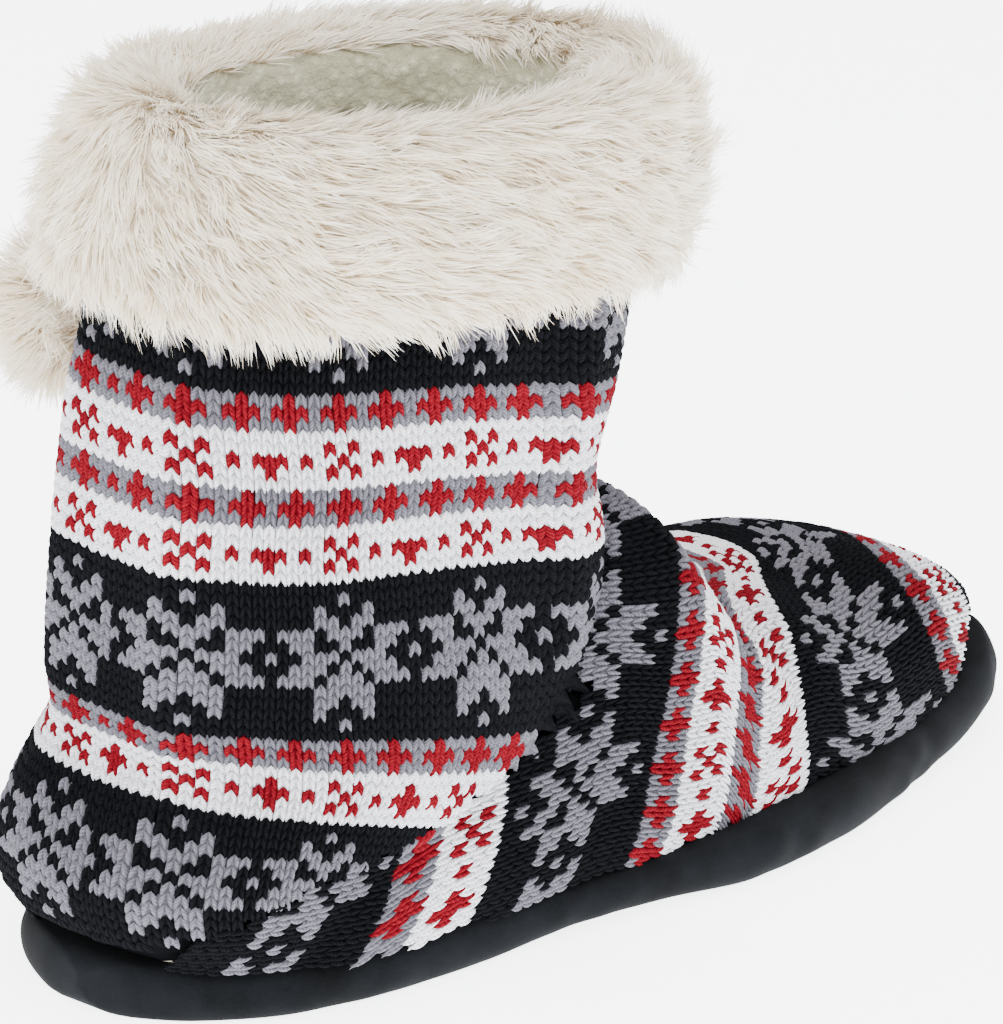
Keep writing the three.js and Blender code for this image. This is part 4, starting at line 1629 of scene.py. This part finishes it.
@dataclass
class Pompom:
    """Fur ball sewn under the cuff on the outer side."""

    last: Last
    finishes: Finishes
    hairs: int = 9000
    core: float = 0.62
    hair_width: float = 0.34 * MM

    def build(self) -> None:
        """Makes the ball's core and its hairs."""
        low, high = (np.array(corner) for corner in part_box("pompom"))
        centre = (low + high) / 2
        radius = float(np.max(high - low)) / 2
        bm = bmesh.new()
        bmesh.ops.create_icosphere(bm, subdivisions=4, radius=radius * self.core)
        bmesh.ops.translate(bm, verts=bm.verts, vec=Vector(centre))
        mesh = meshed(bm, "pompom_core")
        mesh.materials.append(self.finishes.fur_material)
        layer = mesh.uv_layers.new(name="UVMap")
        # The core takes the hair's colour near its root, with a little of the hair's painted shade
        layer.data.foreach_set("uv", np.tile((0.3, 0.3), len(mesh.loops)).astype(np.float32))
        ride_as(linked("pompom_core", mesh), Slot.FUR, "pompom")
        rng = np.random.default_rng(21)
        normal = unit(rng.normal(0, 1, (self.hairs, 3)))
        root = centre + normal * radius * self.core
        nap = np.cross(normal, np.array([0.2, 0.3, 0.9])) + np.array([0.0, 0.0, -0.5])
        length = np.full(self.hairs, radius * (1.04 - self.core))
        hairs = Fur("pompom_hairs", root, normal, nap, length, self.hair_width, 22, lean=0.35, stand=0.6, clump=4 * MM)
        ride_as(hairs.build([self.finishes.fur_material]), Slot.FUR)


@dataclass
class Footbed:
    """Fleece insole and the fleece lining that shows in the opening."""

    finishes: Finishes
    last: Last

    def build(self) -> None:
        """Makes the insole and the lining."""
        insole = copied("insole", "insole_fleece")
        insole.data.materials.append(self.finishes.fleece_material)
        ride_as(insole, Slot.FLEECE, "insole")
        leg = LegForm(self.last)
        self.skin = leg.skin(-3.4 * MM)
        lining = GridPiece("sherpa_lining", 300, 84, self._lining)
        obj = lining.build([self.finishes.fleece_material])
        ride_as(obj, Slot.FLEECE)

    def _lining(self, col: Array, row: Array) -> Array:
        """Places of the lining's points, with the small knots of the fleece."""
        arc = 1 - col / 300
        share = 0.56 + 0.42 * row / 84
        knot = np.sin(col * 2.1 + 1.7 * np.sin(row * 0.9)) * np.sin(row * 1.9 + 1.3 * np.sin(col * 0.7))
        return self.skin.at(share, arc, -(0.5 + 0.5 * knot) * 1.1 * MM)


@dataclass
class Sole:
    """Soft outsole of black microsuede with rounded edges."""

    finishes: Finishes
    last: Last
    around: int = 128
    stations: int = 260
    flat_share: float = 0.5
    ripple: float = 0.35 * MM

    def build(self) -> None:
        """Makes the sole."""
        self.medial, self.lateral = column(SOLE_ROWS, "medial"), column(SOLE_ROWS, "lateral")
        sole = GridPiece("sole_suede", self.around, self.stations, self._place, weld=True)
        obj = sole.build([self.finishes.suede_material])
        ride_as(obj, Slot.SUEDE, "outsole")

    def _place(self, col: Array, row: Array) -> Array:
        """Places of the sole's points: columns go round the section, rows along the sole."""
        size = self.last
        angle = 2 * math.pi * (col % self.around) / self.around
        share = 0.5 - 0.5 * np.cos(math.pi * row / self.stations)
        share = 0.55 * share + 0.45 * row / self.stations
        roll = size.edge_roll
        from_end = np.minimum(1, np.minimum(share, 1 - share) * size.length / roll)
        ending = np.sqrt(np.clip(1 - (1 - from_end) ** 2, 0, 1))
        low, high = size.sole_bottom(share), size.sole_top(share)
        side, upward = np.sin(angle), np.cos(angle)
        half = np.where(side < 0, self.medial(share), self.lateral(share)) * size.ball_width
        flat = np.maximum(half - roll, half * self.flat_share)
        corner = math.sqrt(0.5)
        turn = np.where(np.abs(upward) > corner, math.pi / 2, np.arcsin(np.clip(np.abs(upward) / corner, 0, 1)))
        y = np.sign(side) * (flat * np.minimum(np.abs(side) / corner, 1) + (half - flat) * np.cos(turn))
        z = (low + high) / 2 + np.sign(upward) * np.sin(turn) * (high - low) / 2 * ending
        x = size.heel + share * size.length
        wave = np.sin(x * 310 + 2 * np.sin(x * 120)) * np.sin(angle * 3 + x * 90) * ending
        y = y + np.sign(side) * self.ripple * wave * np.cos(turn)
        return np.stack([x, y, z], -1)


def main() -> None:
    """Builds the slipper's looks and its studio."""
    logging.basicConfig(level=logging.INFO, format="%(message)s")
    Camera().build()
    Studio().build()
    finishes = Finishes().build()
    last = Last()
    Sole(finishes, last).build()
    Footbed(finishes, last).build()
    Upper(last, finishes).build()
    Cuff(last, finishes).build()
    Pompom(last, finishes).build()


if __name__ == "__main__":
    main()
